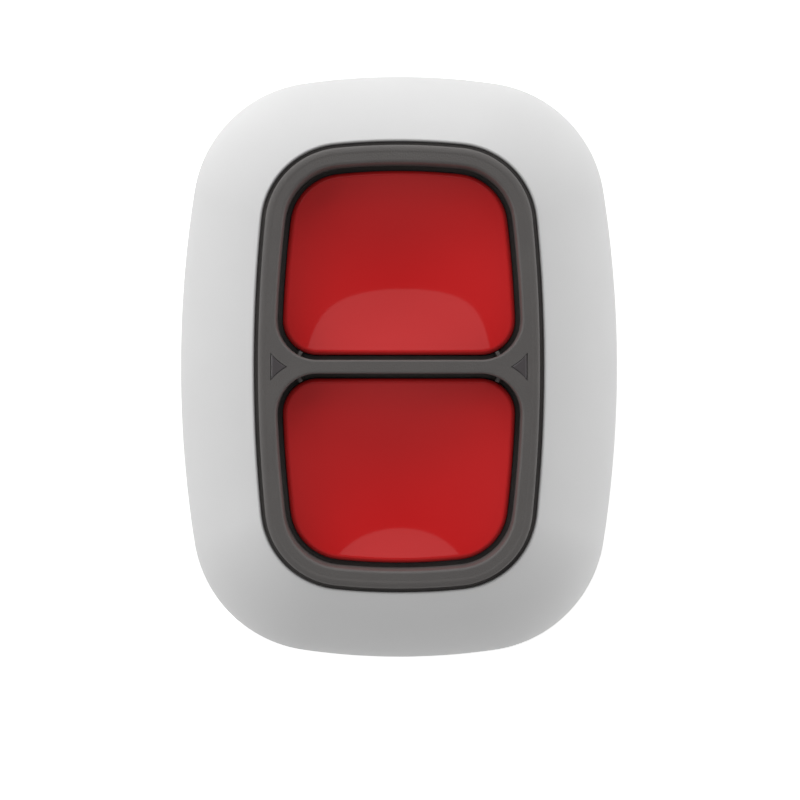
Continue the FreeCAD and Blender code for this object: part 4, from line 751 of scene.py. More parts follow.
def rearPoint(place, arcAngle):
    # A point of the rear skin in its +X +Y quarter: the arc's centre plus its radius along the
    # normal, at the height of its angle on the skin's arc.
    form = formAt(casing["form"], casing["back"], casing["backArc"], arcAngle)
    across, along, cornerX, cornerY, low, high = cornerOf(form)
    angle = quarterAngle(place, low, high)
    onCorner, onEnd = (angle >= low) & (angle < high), angle >= high
    centreX = np.where(onEnd, 0, np.where(onCorner, cornerX, -across))
    centreY = np.where(onEnd, -along, np.where(onCorner, cornerY, 0))
    radius = np.where(onEnd, form[3], np.where(onCorner, form[4], form[2]))
    rise = np.sin(np.radians(arcAngle)) / math.sin(math.radians(casing["backArc"]))
    point = np.stack([centreX + radius * np.cos(angle), centreY + radius * np.sin(angle),
                      casing["parting"] * (1 - rise)], -1)
    return point, angle


def rearNormal(place, arcAngle):
    # The way round crossed with the way up the skin, found from points a hair above and below.
    above, angle = rearPoint(place, arcAngle - hair)
    below, _ = rearPoint(place, arcAngle + hair)
    way = np.stack([-np.sin(angle), np.cos(angle), 0 * angle], -1)
    return np.cross(way, above - below)


def tunnelPoint(turn, around):
    # The tunnel's wall: a circle of the bore's radius about a line that turns round the axis.
    out = eye["ring"] + eye["bore"] * np.cos(around)
    return np.stack([out * np.sin(turn), eye["axis"] - out * np.cos(turn),
                     eye["height"] + eye["bore"] * np.sin(around) + 0 * turn], -1)


def depthInRear(points):
    # How far a point of the +X +Y quarter is inside the rear skin's outline at its own height: the
    # radius of the arc it faces less its distance from that arc's centre. Its angle on the skin's
    # arc and its place on the grid come with it.
    x, y, z = points[..., 0], points[..., 1], points[..., 2]
    sine = (1 - z / casing["parting"]) * math.sin(math.radians(casing["backArc"]))
    arcAngle = np.degrees(np.arcsin(sine))
    form = formAt(casing["form"], casing["back"], casing["backArc"], arcAngle)
    _, along, cornerX, cornerY, low, high = cornerOf(form)
    angle = np.arctan2(y - cornerY, x - cornerX)
    depth = np.where(angle < high, form[4] - np.hypot(x - cornerX, y - cornerY),
                     form[3] - np.hypot(x, y + along))
    normal = np.where(angle < high, angle, np.arctan2(y + along, x))
    return depth, arcAngle, quarterPlace(normal, low, high)


def mouthTurn(around):
    # The turn at which each line along the tunnel leaves the skin, found by halving.
    inside, outside = (np.full(around.shape, turn) for turn in eye["turnRange"])
    for _ in range(eye["halvings"]):
        middle = (inside + outside) / 2
        deep = depthInRear(tunnelPoint(middle, around))[0] > 0
        inside, outside = np.where(deep, middle, inside), np.where(deep, outside, middle)
    return inside


def mirroredX(item):
    # The same sheet on the other side, with its columns turned round so that it still faces out.
    flip = np.array([-1.0, 1.0, 1.0])
    return {**item, "points": item["points"][:, ::-1] * flip,
            "normals": item["normals"][:, ::-1] * flip}


def facingOut(item):
    # Turns the columns round where the faces don't agree with the normals.
    points = item["points"]
    way, rise = (np.roll(points, -1, 1) - points)[:-1], points[1:] - points[:-1]
    if np.sum(np.cross(way, rise) * item["normals"][:-1]) < 0:
        item = {**item, "points": points[:, ::-1], "normals": item["normals"][:, ::-1]}
    return item


def lanyardEye(angles):
    # One mouth: a window of the skin's grid, filled again by rings that pass evenly, in place and
    # in angle, from the window's edge to the mouth's outline. The tunnel runs from there to the
    # other mouth.
    quarter = sum(casing["loopSteps"]) - 3
    near, far = quarter - eye["window"][1], quarter - eye["window"][0]
    last, first = (int(np.argmin(np.abs(angles - limit))) for limit in eye["windowArc"])
    columns, rows = np.arange(near, far + 1), np.arange(first, last + 1)
    wide, tall = np.ones(len(columns) - 1, int), np.ones(len(rows) - 1, int)
    places = np.concatenate([columns[:-1], far * tall, columns[:0:-1], near * tall]).astype(float)
    arcs = angles[np.concatenate([first * wide, rows[:-1], last * wide, rows[:0:-1]])]
    edge, _ = rearPoint(places, arcs)
    middle = tunnelPoint(mouthTurn(np.zeros(1)), np.zeros(1))[0]
    around = np.arctan2(edge[:, 2] - eye["height"], edge[:, 0] - middle[0] + eye["bore"])
    turn = mouthTurn(around)
    _, mouthArc, mouthPlace = depthInRear(tunnelPoint(turn, around))
    share = np.linspace(0, 1, eye["patchSteps"])[:, None]
    patchPlace = places + (mouthPlace - places) * share
    patchArc = arcs + (mouthArc - arcs) * share
    patch = facingOut(sheet(rearPoint(patchPlace, patchArc)[0], rearNormal(patchPlace, patchArc)))
    turns = np.linspace(1, -1, eye["tunnelSteps"])[:, None] * turn
    inward = np.stack([-np.cos(around) * np.sin(turns), np.cos(around) * np.cos(turns),
                       -np.sin(around) + 0 * turns], -1)
    tunnel = facingOut(sheet(tunnelPoint(turns, around), inward))
    gaps = np.zeros((len(angles) - 1, 4 * quarter), bool)
    gaps[first:last, near:far] = True
    gaps[first:last, 2 * quarter - far:2 * quarter - near] = True
    return [patch, mirroredX(patch), tunnel], gaps


def cellWall():
    # Two arcs of wall that hold the cell, with gaps for the clip's ends: a rectangle carried round.
    inner, outer = casing["cellWall"]
    low, high = casing["floorTop"] - casing["sink"], casing["cellWallTop"]
    start = math.asin(casing["clipGap"] / inner)
    angle = np.linspace(start, math.pi - start, casing["holeSteps"])
    arc = np.stack([0 * angle, 0 * angle, angle])
    corners = [(outer, low), (outer, high), (inner, high), (inner, low), (outer, low)]
    items = [{**stretch, "closed": False} for stretch in path(arc, corners)]
    for turn, side in ((start, -1), (math.pi - start, 1)):
        way = np.array([math.cos(turn), math.sin(turn), 0.0])
        corners = np.array([[way * inner, way * outer], [way * inner, way * outer]])
        corners[0, :, 2], corners[1, :, 2] = low, high
        normal = np.array([-way[1], way[0], 0.0]) * side
        if side > 0:
            corners = corners[:, ::-1]
        items.append(sheet(corners, np.tile(normal, (2, 2, 1)), closed=False))
    return items + [turnedHalf(item) for item in items]


def makeRearCover():
    # Skin, seal groove, hollow and floor are profiles carried round the casing's outline, and
    # together they close.
    steps, parting, arc = casing["loopSteps"], casing["parting"], casing["backArc"]
    form, back = casing["form"], casing["back"]
    loop = wholeLoop(form, steps)
    seam = parting - casing["seamHeight"]
    edge = casing["seamRound"]
    start = angleAt(parting, 0, arc, seam - edge)
    angles = start + (arc - start) * np.linspace(1, 0, casing["skinSteps"])
    outside = skin(form, back, parting, 0, arc, angles, steps)
    eyeItems, outside["gaps"] = lanyardEye(angles)
    seamLoop = wholeLoop(formAt(form, back, arc, start), steps)
    items = [outside, roundEdge(seamLoop, (-edge, seam - edge), edge, 0, 90, casing["edgeSteps"])]
    items += eyeItems + cellWall() + block(eye["blockLow"], eye["blockHigh"])
    depth, land = -casing["seamDepth"], -casing["land"]
    groove, grooveFloor = land - casing["groove"], parting - casing["grooveDepth"]
    items.append(flat([offsetLoop(seamLoop, -edge), offsetLoop(loop, depth)], seam))
    items += path(loop, [(depth, seam), (depth, parting), (land, parting), (land, grooveFloor),
                         (groove, grooveFloor), (groove, parting), (-casing["rimWall"], parting)])
    floor = grown(back, -casing["floorMargin"])
    items.append(skin(grown(form, -casing["rimWall"]), floor, parting, casing["floorTop"],
                      casing["floorArc"], np.linspace(0, casing["floorArc"], casing["floorSteps"]),
                      steps))
    bottomHoles, floorHoles = [wholeLoop(back, steps)], [wholeLoop(floor, steps)]
    bore = screws["radius"] + screws["clearance"]
    for x, y in screwPlaces:
        side, hole = roundHole(x, y, screws["head"], 0, screws["seat"])
        items.append(side)
        bottomHoles.append(hole)
        items.append(wall(hole, (bore - screws["head"], screws["seat"]), (0, screws["seat"])))
        side, hole = roundHole(x, y, bore, screws["seat"], casing["floorTop"])
        items.append(side)
        floorHoles.append(hole)
        items += tube(x, y, bore + screws["wall"], bore, casing["floorTop"], screws["boardBottom"])
    items += [flat(bottomHoles, 0, up=False), flat(floorHoles, casing["floorTop"])]
    return items


# Guard frame. Its wall drops to the rebate that keeps the caps' flanges in. The round edge of each
# aperture is wider beside the ring than beside the bar.

guard = {
    "top": reachOf("guard_frame")[2],
    "bottom": 10.8,
    "clearance": 0.35,  # to the casing's opening
    "rimRound": 0.46,
    "rimSquash": 0.5,  # its height is half its width
    "rimDrop": 0.02,
    "rimWidth": 0.14,
    "gapLedge": 0.36,  # below the casing's lip
    "gapLeft": 0.04,
    "capLedge": 13.25,
    "capLeft": 0.06,
    "ringRound": 0.26,
    "barRound": 0.18,
    "guideTurn": -63.0,  # of a guide rib about the centre of its corner arc
    "guideHalf": 0.13,
    "guideTop": 14.9,
    "guideInto": 0.1,
    "guideSink": 0.2,
    "rebateTop": 12.4,
    "rebate": 0.34,
    "rebateStart": 3.4,
    "steps": (22, 12, 22),
    "rimSteps": 10,
    "roundSteps": 9,
    "hookBottom": 8.75,
    "hookTop": 9.35,
    "hookReach": 0.3,
    "hookFlat": 0.15,
    "hookThickness": 0.6,
    "hookHalfWidth": 1.0,
    "sideFace": 10.365,
    "endFace": 16.9,
}
caps = {
    "form": [9.08, 15.2, 98.0, 46.5, 4.15],
    "gap": 0.9,  # from the middle to the straight side
    "inner": 2.7,  # radius of the two corners beside it
    "clearance": 0.38,
    "rim": reachOf("cap_upper")[2],
    "dish": 1.1,
    "rimRound": 0.44,
    "skirtBottom": 11.45,
    "flangeTop": 12.3,
    "flange": 0.7,
    "flangeStart": 3.5,
    "underside": 12.1,
    "wallThickness": 1.1,
    "post": 2.5,
    "postBottom": 11.8,
    "rib": 0.35,
    "steps": (30, 14, 26),
    "rimSteps": 10,
    "rings": 40,
    "crowding": 1.15,  # above 1, the rings are closer near the rim
    "roofRings": 6,
    "postSteps": 32,
}
arrow = {
    "tip": 8.56,
    "base": 9.79,
    "half": 1.03,
    "bend": 4.4,
    "stretch": (1.6, 1.9),  # how much more than the margin the sharp corners move
    "depth": 0.02,
    "clearance": 0.02,
    "edge": 0.12,
    "edgeDrop": 0.075,
    "steps": 16,
    "foot": (1.015, 1.43),
    "footBottom": 10.3,
    "guide": (0.6, 0.9),
    "guideBottom": 8.0,
}


def capLoop(offset, steps):
    # Outline of the +Y cap, grown by an offset: the straight side and every arc move out by it.
    form = grown(caps["form"], offset)
    return halfLoop(form, caps["gap"] - offset, caps["inner"] + offset, steps)


def arrowSides(margin):
    # The three sides of an arrow that points at the bar: the base, and two hollow arcs, each with
    # its centre the same distance from both its ends. Each side is a run of points with normals,
    # counterclockwise. A margin moves the base out, and the sharp corners further.
    tip, base = arrow["tip"] - arrow["stretch"][0] * margin, arrow["base"] + margin
    half, bend = arrow["half"] + arrow["stretch"][1] * margin, arrow["bend"]
    chord = math.hypot(base - tip, half)
    away = math.sqrt(bend ** 2 - chord ** 2 / 4)
    centre = np.array([(tip + base) / 2 - half / chord * away,
                       half / 2 + (base - tip) / chord * away])
    first = math.atan2(half - centre[1], base - centre[0])
    last = math.atan2(-centre[1], tip - centre[0])
    angle = np.linspace(first, last, arrow["steps"])
    way = np.stack([np.cos(angle), np.sin(angle)], 1)
    upper = centre + bend * way
    mirror = np.array([1.0, -1.0])
    straight = np.array([[base, -half], [base, half]])
    return [(straight, np.tile([1.0, 0.0], (2, 1))), (upper, -way),
            (upper[::-1] * mirror, -way[::-1] * mirror)]


def arrowLoop(margin):
    # The three sides end to end, each one's last point left out.
    points = np.concatenate([side[:-1] for side, _ in arrowSides(margin)])
    return np.vstack([points.T, 0 * points[:, 0]])


def arrowWalls(lower, upper, inside=False):
    # A wall between two outlines, each a margin and a height. Its normal leans by how far it draws
    # in over how far it rises. Inside a hole it faces the other way.
    made = []
    drawn, rise = lower[0] - upper[0], upper[1] - lower[1]
    for (low, away), (high, _) in zip(arrowSides(lower[0]), arrowSides(upper[0])):
        ends = [np.column_stack([low, np.full(len(low), lower[1])]),
                np.column_stack([high, np.full(len(high), upper[1])])]
        normals = np.column_stack([away * rise, np.full(len(away), drawn)])
        sign = -1 if inside else 1
        made.append(sheet(np.stack(ends[::sign]), np.stack([normals] * 2) * sign, closed=False))
    return made


def smoothStep(value, low, high):
    # 3 s^2 - 2 s^3, where s is the share of the way from low to high.
    share = np.clip((value - low) / (high - low), 0, 1)
    return share * share * (3 - 2 * share)


def makeGuardFrame():
    # Profiles carried round the outer outline and round each aperture, and level faces between.
    outer = wholeLoop(grown(casing["opening"], -guard["clearance"]), casing["loopSteps"])
    top, bottom, edge = guard["top"], guard["bottom"], guard["rimRound"]
    rebateTop, ledgeTop = guard["rebateTop"], guard["capLedge"]
    shoulder = top - edge * guard["rimSquash"]
    # A skirt below the rim nearly fills the gap to the casing. The rim is higher than the face.
    skirt, ledge = guard["clearance"] - guard["gapLeft"], casing["top"] - guard["gapLedge"]
    level = top - guard["rimDrop"]
    inside = edge + guard["rimWidth"]
    items = path(outer, [(skirt, bottom), (skirt, ledge), (0, ledge), (0, shoulder)])
    items.append(roundEdge(outer, (-edge, shoulder), edge, 0, 90, guard["rimSteps"],
                           guard["rimSquash"]))
    items.append(wall(outer, (-edge, top), (-inside, level)))
    aperture = capLoop(caps["clearance"], guard["steps"])
    ring = smoothStep(aperture[1], caps["gap"], caps["gap"] + caps["inner"])
    radius = guard["barRound"] + (guard["ringRound"] - guard["barRound"]) * ring
    flange = np.where(aperture[1] >= guard["rebateStart"], guard["rebate"], 0.0)
    high, low = offsetLoop(aperture, radius), offsetLoop(aperture, flange)
    window = arrowLoop(arrow["clearance"])
    # A second ledge runs round each cap's rim.
    lip = guard["capLeft"] - caps["clearance"]
    side = [
        roundEdge(aperture, (radius, level - radius), radius, 90, 180, guard["roundSteps"]),
        band(aperture, (0, 0), (level - radius, ledgeTop), math.pi),
        band(aperture, (0, lip), (ledgeTop, ledgeTop), math.pi / 2),
        band(aperture, (lip, lip), (ledgeTop, rebateTop), math.pi),
        band(aperture, (lip, flange), (rebateTop, rebateTop), -math.pi / 2),
        band(aperture, (flange, flange), (rebateTop, bottom), math.pi),
    ]
    side += arrowWalls((arrow["clearance"], bottom), (arrow["clearance"], level), inside=True)
    # Small guide ribs bridge the gap at the caps' inner corners, square to the corner arc.
    inner = caps["inner"]
    centreX = math.sqrt((caps["form"][2] - inner) ** 2 - (caps["gap"] + inner) ** 2)
    centreX -= caps["form"][2] - caps["form"][0]
    near, far = inner + guard["capLeft"] / 2, inner + caps["clearance"] + guard["guideInto"]
    half = guard["guideHalf"]
    for turn, sign in ((guard["guideTurn"], 1), (180 - guard["guideTurn"], -1)):
        along, across = math.cos(math.radians(turn)), math.sin(math.radians(turn))
        into = [[along, -across, 0], [across, along, 0], [0, 0, 1]]
        side += extruded([(near, -half), (far, -half), (far, half), (near, half)],
                         ledgeTop - guard["guideSink"], guard["guideTop"], into,
                         (sign * centreX, caps["gap"] + inner, 0))
    items += side + [turnedHalf(item) for item in side]
    windows = [window, turned(window)]
    items.append(flat([offsetLoop(outer, -inside), high, turned(high)] + windows, level))
    items.append(flat([offsetLoop(outer, skirt), low, turned(low)] + windows, bottom, up=False))
    return items + guardHooks()


def turned(loop):
    # A loop turned half round about Z.
    return np.stack([-loop[0], -loop[1], loop[2] + math.pi])


def guardHooks():
    # Six snap hooks that pass through the deck, each a short wall with a wedge at its foot: one
    # profile, drawn out to both sides.
    items = []
    for face, places, ends in ((guard["sideFace"], (-hooks["side"], hooks["side"]), False),
                               (guard["endFace"], (0,), True)):
        profile = [
            (face - guard["hookThickness"], guard["hookBottom"]), (face, guard["hookBottom"]),
            (face + guard["hookReach"], guard["hookTop"] - guard["hookFlat"]),
            (face + guard["hookReach"], guard["hookTop"]), (face, guard["hookTop"]),
            (face, guard["bottom"]), (face - guard["hookThickness"], guard["bottom"]),
        ]
        into = [[1, 0, 0], [0, 0, -1], [0, 1, 0]]  # the profile's second axis becomes Z
        if ends:
            into = [[0, 0, 1], [1, 0, 0], [0, 1, 0]]
        for place in places:
            shift = (0, 0, 0) if ends else (0, place, 0)
            hook = extruded(profile, -guard["hookHalfWidth"], guard["hookHalfWidth"], into, shift)
            items += hook + [turnedHalf(item) for item in hook]
    return items


# Caps. The dish is rim - depth (1 - u^2)(1 - v^2), with u and v from -1 to 1 across and along the
# cap, and the rim drops away from it in a quarter circle.

def dishHeight(x, y):
    # The dish's height at a place, and its slopes along X and Y.
    middle = (caps["form"][1] + caps["gap"]) / 2
    u = x / caps["form"][0]
    v = (y - middle) / ((caps["form"][1] - caps["gap"]) / 2)
    height = caps["rim"] - caps["dish"] * (1 - u ** 2) * (1 - v ** 2)
    slopeX = 2 * caps["dish"] * u * (1 - v ** 2) / caps["form"][0]
    slopeY = 2 * caps["dish"] * v * (1 - u ** 2) / ((caps["form"][1] - caps["gap"]) / 2)
    return height, slopeX, slopeY


def dishSheet(points2d, drop, normalOut, normalUp):
    # Lifts level points to the dish, less a drop, and shears their normals by the dish's slope.
    height, slopeX, slopeY = dishHeight(points2d[..., 0], points2d[..., 1])
    points = np.concatenate([points2d, (height - drop)[..., None]], -1)
    normals = np.stack([normalOut[..., 0] - normalUp * slopeX,
                        normalOut[..., 1] - normalUp * slopeY, normalUp], -1)
    return sheet(points, normals)


def makeCap():
    # The skirt and the flange are bands round the cap's outline. The rim and the dish are rings of
    # that outline, drawn in towards the middle and lifted to the dish.
    loop = capLoop(0, caps["steps"])
    x, y, angle = loop
    way = np.stack([np.cos(angle), np.sin(angle)], -1)
    radius, thickness = caps["rimRound"], caps["wallThickness"]
    middle = np.array([0.0, switchPlace])
    flange = np.where(y >= caps["flangeStart"], caps["flange"], 0.0)
    bottom, ledge, ceiling = caps["skirtBottom"], caps["flangeTop"], caps["underside"]
    hollow = offsetLoop(loop, -thickness)[:2].T
    roof = middle + (hollow - middle) * np.linspace(0, 1, caps["roofRings"])[:, None, None]
    level = np.full(roof.shape[:2] + (1,), ceiling)
    down = np.broadcast_to([0.0, 0.0, -1.0], roof.shape[:2] + (3,))
    items = [
        sheet(np.concatenate([roof, level], -1), down),
        wall(loop, (-thickness, ceiling), (-thickness, bottom)),
        band(loop, (-thickness, flange), (bottom, bottom), -math.pi / 2),
        band(loop, (flange, flange), (bottom, ledge), 0),
        band(loop, (flange, 0), (ledge, ledge), math.pi / 2),
        band(loop, (0, 0), (ledge, dishHeight(x, y)[0] - radius), 0),
    ]
    lean = np.radians(np.linspace(0, 90, caps["rimSteps"]))[:, None]
    inset = np.stack([x, y], -1) - (radius * (1 - np.cos(lean)))[..., None] * way
    drop, rise = (np.broadcast_to(value, inset.shape[:2])
                  for value in (radius * (1 - np.sin(lean)), np.sin(lean)))
    items.append(dishSheet(inset, drop, np.cos(lean)[..., None] * way, rise))
    inward = (1 - np.linspace(0, 1, caps["rings"]) ** caps["crowding"])[:, None, None]
    inside = middle + (inset[-1] - middle) * inward
    still = np.zeros(inside.shape[:2])
    items.append(dishSheet(inside, still, np.zeros(inside.shape), still + 1))
    # The post over the switch and two crossed ribs hang from the roof, sunk into it a little.
    foot, buried, rib = caps["postBottom"], ceiling + casing["sink"], caps["rib"]
    items += path(circleLoop(*middle, 0, caps["postSteps"]),
                  [(0, foot), (caps["post"], foot), (caps["post"], buried), (0, buried)])
    reachX, far = (size - thickness / 2 for size in caps["form"][:2])
    items += block((-reachX, switchPlace - rib, foot), (reachX, switchPlace + rib, buried))
    items += block((-rib, caps["gap"] + thickness / 2, foot), (rib, far, buried))
    return items


def makeWindow():
    # Walls and a bevel between outlines of the arrow, on a foot and a light guide.
    top = guard["top"] - arrow["depth"]
    bevel, foot = (0, top - arrow["edgeDrop"]), (0, guard["bottom"] - casing["sink"])
    items = arrowWalls(foot, bevel) + arrowWalls(bevel, (-arrow["edge"], top))
    items += [flat([arrowLoop(0)], foot[1], up=False), flat([arrowLoop(-arrow["edge"])], top)]
    place = (arrow["tip"] + arrow["base"]) / 2
    for (halfX, halfY), low, high in ((arrow["foot"], arrow["footBottom"], guard["bottom"]),
                                      (arrow["guide"], arrow["guideBottom"], arrow["footBottom"])):
        items += block((place - halfX, -halfY, low), (place + halfX, halfY, high))
    return items


frontShell, rearCover, guardFrame = makeFrontShell(), makeRearCover(), makeGuardFrame()
cap, window = makeCap(), makeWindow()
otherCap, otherWindow = ([turnedHalf(item) for item in items] for items in (cap, window))
addPiece("frontShell", frontShell, "casing", "front_shell", "casingAsa")
addPiece("rearCover", rearCover, "casing", "rear_cover", "casingAsa")
addPiece("guardFrame", guardFrame, "casing", "guard_frame", "guardPolycarbonate")
addPiece("capUpper", cap, "upper_button", "cap_upper", "capAbs")
addPiece("capLower", otherCap, "lower_button", "cap_lower", "capAbs")
addPiece("windowRight", window, "casing", "indicator_right", "windowAcrylic")
addPiece("windowLeft", otherWindow, "casing", "indicator_left", "windowAcrylic")
print("outside pieces made")

# Keypad: the sheet stays still, and a pad of its own stands over each switch.

keypad = {"sheetTop": 10.6, "root": 0.1, "radius": 2.3, "top": reachOf("keypad_membrane")[2],
          "travel": 0.8, "steps": 64}


def makeKeypadSheet():
    # Takes the CAD keypad's triangles and brings the pads' tops down to the sheet. A triangle's
    # normal is one side crossed with another.
    source = nodes["keypad_membrane"].data
    points = np.empty(len(source.vertices) * 3, np.float32)
    source.vertices.foreach_get("co", points)
    points = points.reshape(-1, 3).astype(float) / mm
    away = np.hypot(points[:, 0], np.abs(points[:, 1]) - switchPlace)
    onPad = (away < keypad["radius"] + 2 * fineStep) & (points[:, 2] > keypad["sheetTop"])
    points[onPad, 2] = keypad["sheetTop"]
    index = np.empty(len(source.loops), np.int32)
    source.loops.foreach_get("vertex_index", index)
    corners = points[index].reshape(-1, 3, 3)
    normals = np.cross(corners[:, 1] - corners[:, 0], corners[:, 2] - corners[:, 0])
    normals /= np.maximum(np.linalg.norm(normals, axis=1, keepdims=True), tiny)
    return [{"points": corners, "normals": np.repeat(normals, 3, 0),
             "triangles": np.arange(corners.shape[0] * 3).reshape(-1, 3)}]


addPiece("keypadSheet", makeKeypadSheet(), "casing", "keypad_membrane",
         "keypadSilicone")
padFoot, padTop, padRadius = keypad["sheetTop"] - keypad["root"], keypad["top"], keypad["radius"]
pad = path(circleLoop(0, switchPlace, 0, keypad["steps"]),
           [(0, padFoot), (padRadius, padFoot), (padRadius, padTop), (0, padTop)])
otherPad = [turnedHalf(item) for item in pad]
for name, joint, items, place in (("keypadPadUpper", "press_upper", pad, switchPlace),
                                  ("keypadPadLower", "press_lower", otherPad, -switchPlace)):
    piece = addPiece(name, items, "casing", "keypad_membrane", "keypadSilicone")
    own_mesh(piece)
print("keypad made")

# Inner pieces keep their CAD meshes and get finishes.

finishes = {
    "seal_ring": "sealRubber", "circuit_board": "boardLaminate",
    "coin_cell": "cellSteel", "battery_clip": "springSteel", "battery_contact": "springSteel",
    "shield_can": "springSteel", "antenna": "springSteel", "case_screws": "screwZinc",
    "control_chip": "chipCompound", "crystal": "partCeramic", "chip_components": "partCeramic",
    "led_left": "lampEpoxy", "led_right": "lampEpoxy",
}
for side in ("upper", "lower"):
    finishes[f"switch_{side}_base"] = "switchPbt"
    finishes[f"switch_{side}_cover"] = "springSteel"
    finishes[f"switch_{side}_dome"] = "springSteel"
    finishes[f"switch_{side}_plunger"] = "plungerNylon"
for node, finish in finishes.items():
    mesh = nodes[node].data
    mesh.materials.clear()
    mesh.materials.append(materials[finish])
print("inner pieces finished:", len(finishes))

# Floor, light and camera

studio = {
    "floorSize": 1600.0,
    "floorColour": "#F2F2F2",
    "floorTooth": 1.5,
    "floorRelief": 0.01,
    "floorShown": 0.62,  # added for the camera and for gloss
    "worldLow": 0.52,  # brightness at the level of the floor
    "worldHigh": 0.075,  # and at the darkest place overhead
    "darkLean": 16.0,  # of that place, from straight up towards +Y
    "footFade": (20.0, 30.0),  # elevations between which the white foot ends
    "cameraHeight": 150.0,
    "focalLength": 79.07,
    "clip": (0.01, 10.0),  # in metres
    "imageSize": 800,
    "objectCentre": (399.0, 366.7),  # pixels from the left and from the top
    "lampDistance": 700.0,
}
# Each lamp is a soft box: its azimuth from +X and its elevation, its width and height, and its
# brightness, where 1 is a plain white. One is nearer and turned away from the object by its tilt.
lamps = {
    "softPanel": {"azimuth": 92.8, "elevation": 67.2, "size": (140.0, 90.0), "bright": 0.56,
                  "distance": 261.7, "tilt": -19.4},
    "topPanel": {"azimuth": 90, "elevation": 18, "size": (600.0, 250.0), "bright": 3.04},
    "topHighPanel": {"azimuth": 90, "elevation": 32, "size": (600.0, 300.0), "bright": 1.73},
    "keyPanel": {"azimuth": 140, "elevation": 35, "size": (400.0, 300.0), "bright": 2.29},
    "leftPanel": {"azimuth": 180, "elevation": 25, "size": (600.0, 300.0), "bright": 2.25},
    "rightPanel": {"azimuth": 0, "elevation": 10, "size": (600.0, 200.0), "bright": 4.42},
}


def shownRays(tree):
    # 1 for a ray from the camera, from gloss or through glass, and 0 for light on the object: the
    # larger of the three marks.
    rays = addNode(tree, "ShaderNodeLightPath")
    seen = addNode(tree, "ShaderNodeMath", {
        0: rays.outputs["Is Camera Ray"], 1: rays.outputs["Is Glossy Ray"]}, operation="MAXIMUM")
    return addNode(tree, "ShaderNodeMath", {
        0: seen.outputs[0], 1: rays.outputs["Is Transmission Ray"]}, operation="MAXIMUM").outputs[0]


def makeFloor():
    # A square on the level of the object's back.
    half = studio["floorSize"] / 2 * mm
    mesh = bpy.data.meshes.new("floor")
    corners = [(-half, -half, 0), (half, -half, 0), (half, half, 0), (-half, half, 0)]
    mesh.from_pydata(corners, [], [(0, 1, 2, 3)])
    floor = bpy.data.objects.new("floor", mesh)
    bpy.context.scene.collection.objects.link(floor)
    # White painted board. What the camera and gloss see is lifted to white, and its shadow stays.
    material, tree, place = startMaterial("floorPaint")
    tooth = addNode(tree, "ShaderNodeTexNoise", {
        "Vector": place, "Scale": grainScale(studio["floorTooth"])})
    relief = addNode(tree, "ShaderNodeBump", {
        "Height": tooth.outputs["Fac"], "Strength": 0.2, "Distance": studio["floorRelief"] * mm})
    paint = addNode(tree, "ShaderNodeBsdfDiffuse", {
        "Color": linear(studio["floorColour"]), "Normal": relief.outputs["Normal"]})
    lift = addNode(tree, "ShaderNodeEmission", {
        "Color": (1, 1, 1, 1), "Strength": studio["floorShown"]})
    both = addNode(tree, "ShaderNodeAddShader", {0: paint.outputs[0], 1: lift.outputs[0]})
    mixed = addNode(tree, "ShaderNodeMixShader", {
        0: shownRays(tree), 1: paint.outputs[0], 2: both.outputs[0]})
    addNode(tree, "ShaderNodeOutputMaterial", {"Surface": mixed.outputs[0]})
    mesh.materials.append(material)


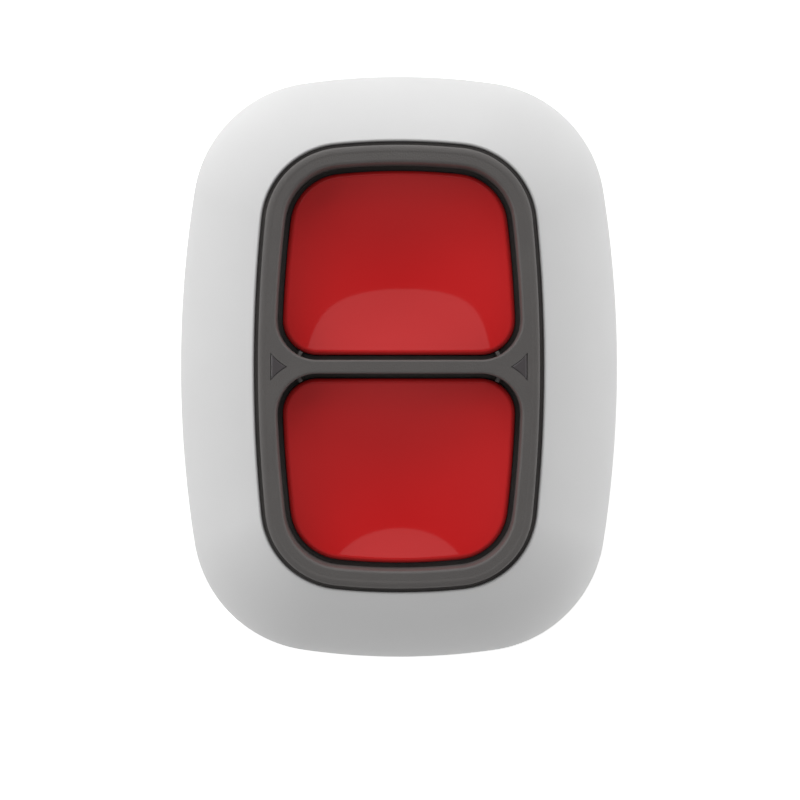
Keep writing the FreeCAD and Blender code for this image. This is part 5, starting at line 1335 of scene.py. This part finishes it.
def makeWorld():
    # A pale cove: bright near the floor and dimmer overhead. The brightness grows evenly with the
    # angle from its darkest place, which is a little towards +Y. What the camera, gloss and glass
    # see of its foot is white, as the floor is.
    world = bpy.data.worlds.new("cove")
    world.use_nodes = True
    tree = world.node_tree
    tree.nodes.clear()
    way = addNode(tree, "ShaderNodeTexCoord").outputs["Generated"]
    lean = math.radians(studio["darkLean"])
    along = addNode(tree, "ShaderNodeVectorMath", {
        0: way, 1: (0, math.sin(lean), math.cos(lean))}, operation="DOT_PRODUCT")
    angle = addNode(tree, "ShaderNodeMath", {0: along.outputs["Value"]}, operation="ARCCOSINE")
    shade = addNode(tree, "ShaderNodeMapRange", {
        "Value": angle.outputs[0], "From Min": 0.0, "From Max": math.pi / 2,
        "To Min": studio["worldHigh"], "To Max": studio["worldLow"]})
    height = addNode(tree, "ShaderNodeSeparateXYZ", {"Vector": way})
    low, high = (math.sin(math.radians(turn)) for turn in studio["footFade"])
    foot = addNode(tree, "ShaderNodeMapRange", {
        "Value": height.outputs["Z"], "From Min": low, "From Max": high, "To Min": shownRays(tree),
        "To Max": 0.0})
    both = addNode(tree, "ShaderNodeMapRange", {
        "Value": foot.outputs["Result"], "To Min": shade.outputs["Result"], "To Max": 1.0})
    sky = addNode(tree, "ShaderNodeBackground", {
        "Color": (1, 1, 1, 1), "Strength": both.outputs["Result"]})
    addNode(tree, "ShaderNodeOutputWorld", {"Surface": sky.outputs[0]})
    bpy.context.scene.world = world


def addPanel(name, lamp):
    # A soft box at its distance along its azimuth and elevation. Its power is its brightness times
    # pi times its area.
    lamp = {"distance": studio["lampDistance"], "tilt": 0, **lamp}
    azimuth, elevation, tilt = (math.radians(lamp[key]) for key in ("azimuth", "elevation", "tilt"))
    light = bpy.data.lights.new(name, "AREA")
    light.shape = "RECTANGLE"
    light.size, light.size_y = lamp["size"][0] * mm, lamp["size"][1] * mm
    light.energy = lamp["bright"] * math.pi * light.size * light.size_y
    holder = bpy.data.objects.new(name, light)
    bpy.context.scene.collection.objects.link(holder)
    level = Vector((math.cos(azimuth), math.sin(azimuth), 0))
    up = Vector((0, 0, 1))
    away = level * math.cos(elevation) + up * math.sin(elevation)
    holder.location = away * lamp["distance"] * mm
    # The box shines along its own -Z, and its height stays upright.
    facing = -level * math.cos(elevation - tilt) - up * math.sin(elevation - tilt)
    holder.rotation_euler = facing.to_track_quat("-Z", "Y").to_euler()


def makeCamera():
    # Straight above the object, shifted by the share of the picture that its middle is off centre.
    camera = bpy.data.cameras.new("camera")
    camera.lens = studio["focalLength"]
    camera.clip_start, camera.clip_end = studio["clip"]
    half = studio["imageSize"] / 2
    camera.shift_x = (half - studio["objectCentre"][0]) / studio["imageSize"]
    camera.shift_y = (studio["objectCentre"][1] - half) / studio["imageSize"]
    holder = bpy.data.objects.new("camera", camera)
    bpy.context.scene.collection.objects.link(holder)
    holder.location = (0, 0, studio["cameraHeight"] * mm)
    bpy.context.scene.camera = holder


makeFloor()
makeWorld()
for lampName, lamp in lamps.items():
    addPanel(lampName, lamp)
makeCamera()
bpy.context.scene.view_settings.view_transform = "Standard"
print("floor, light and camera set")
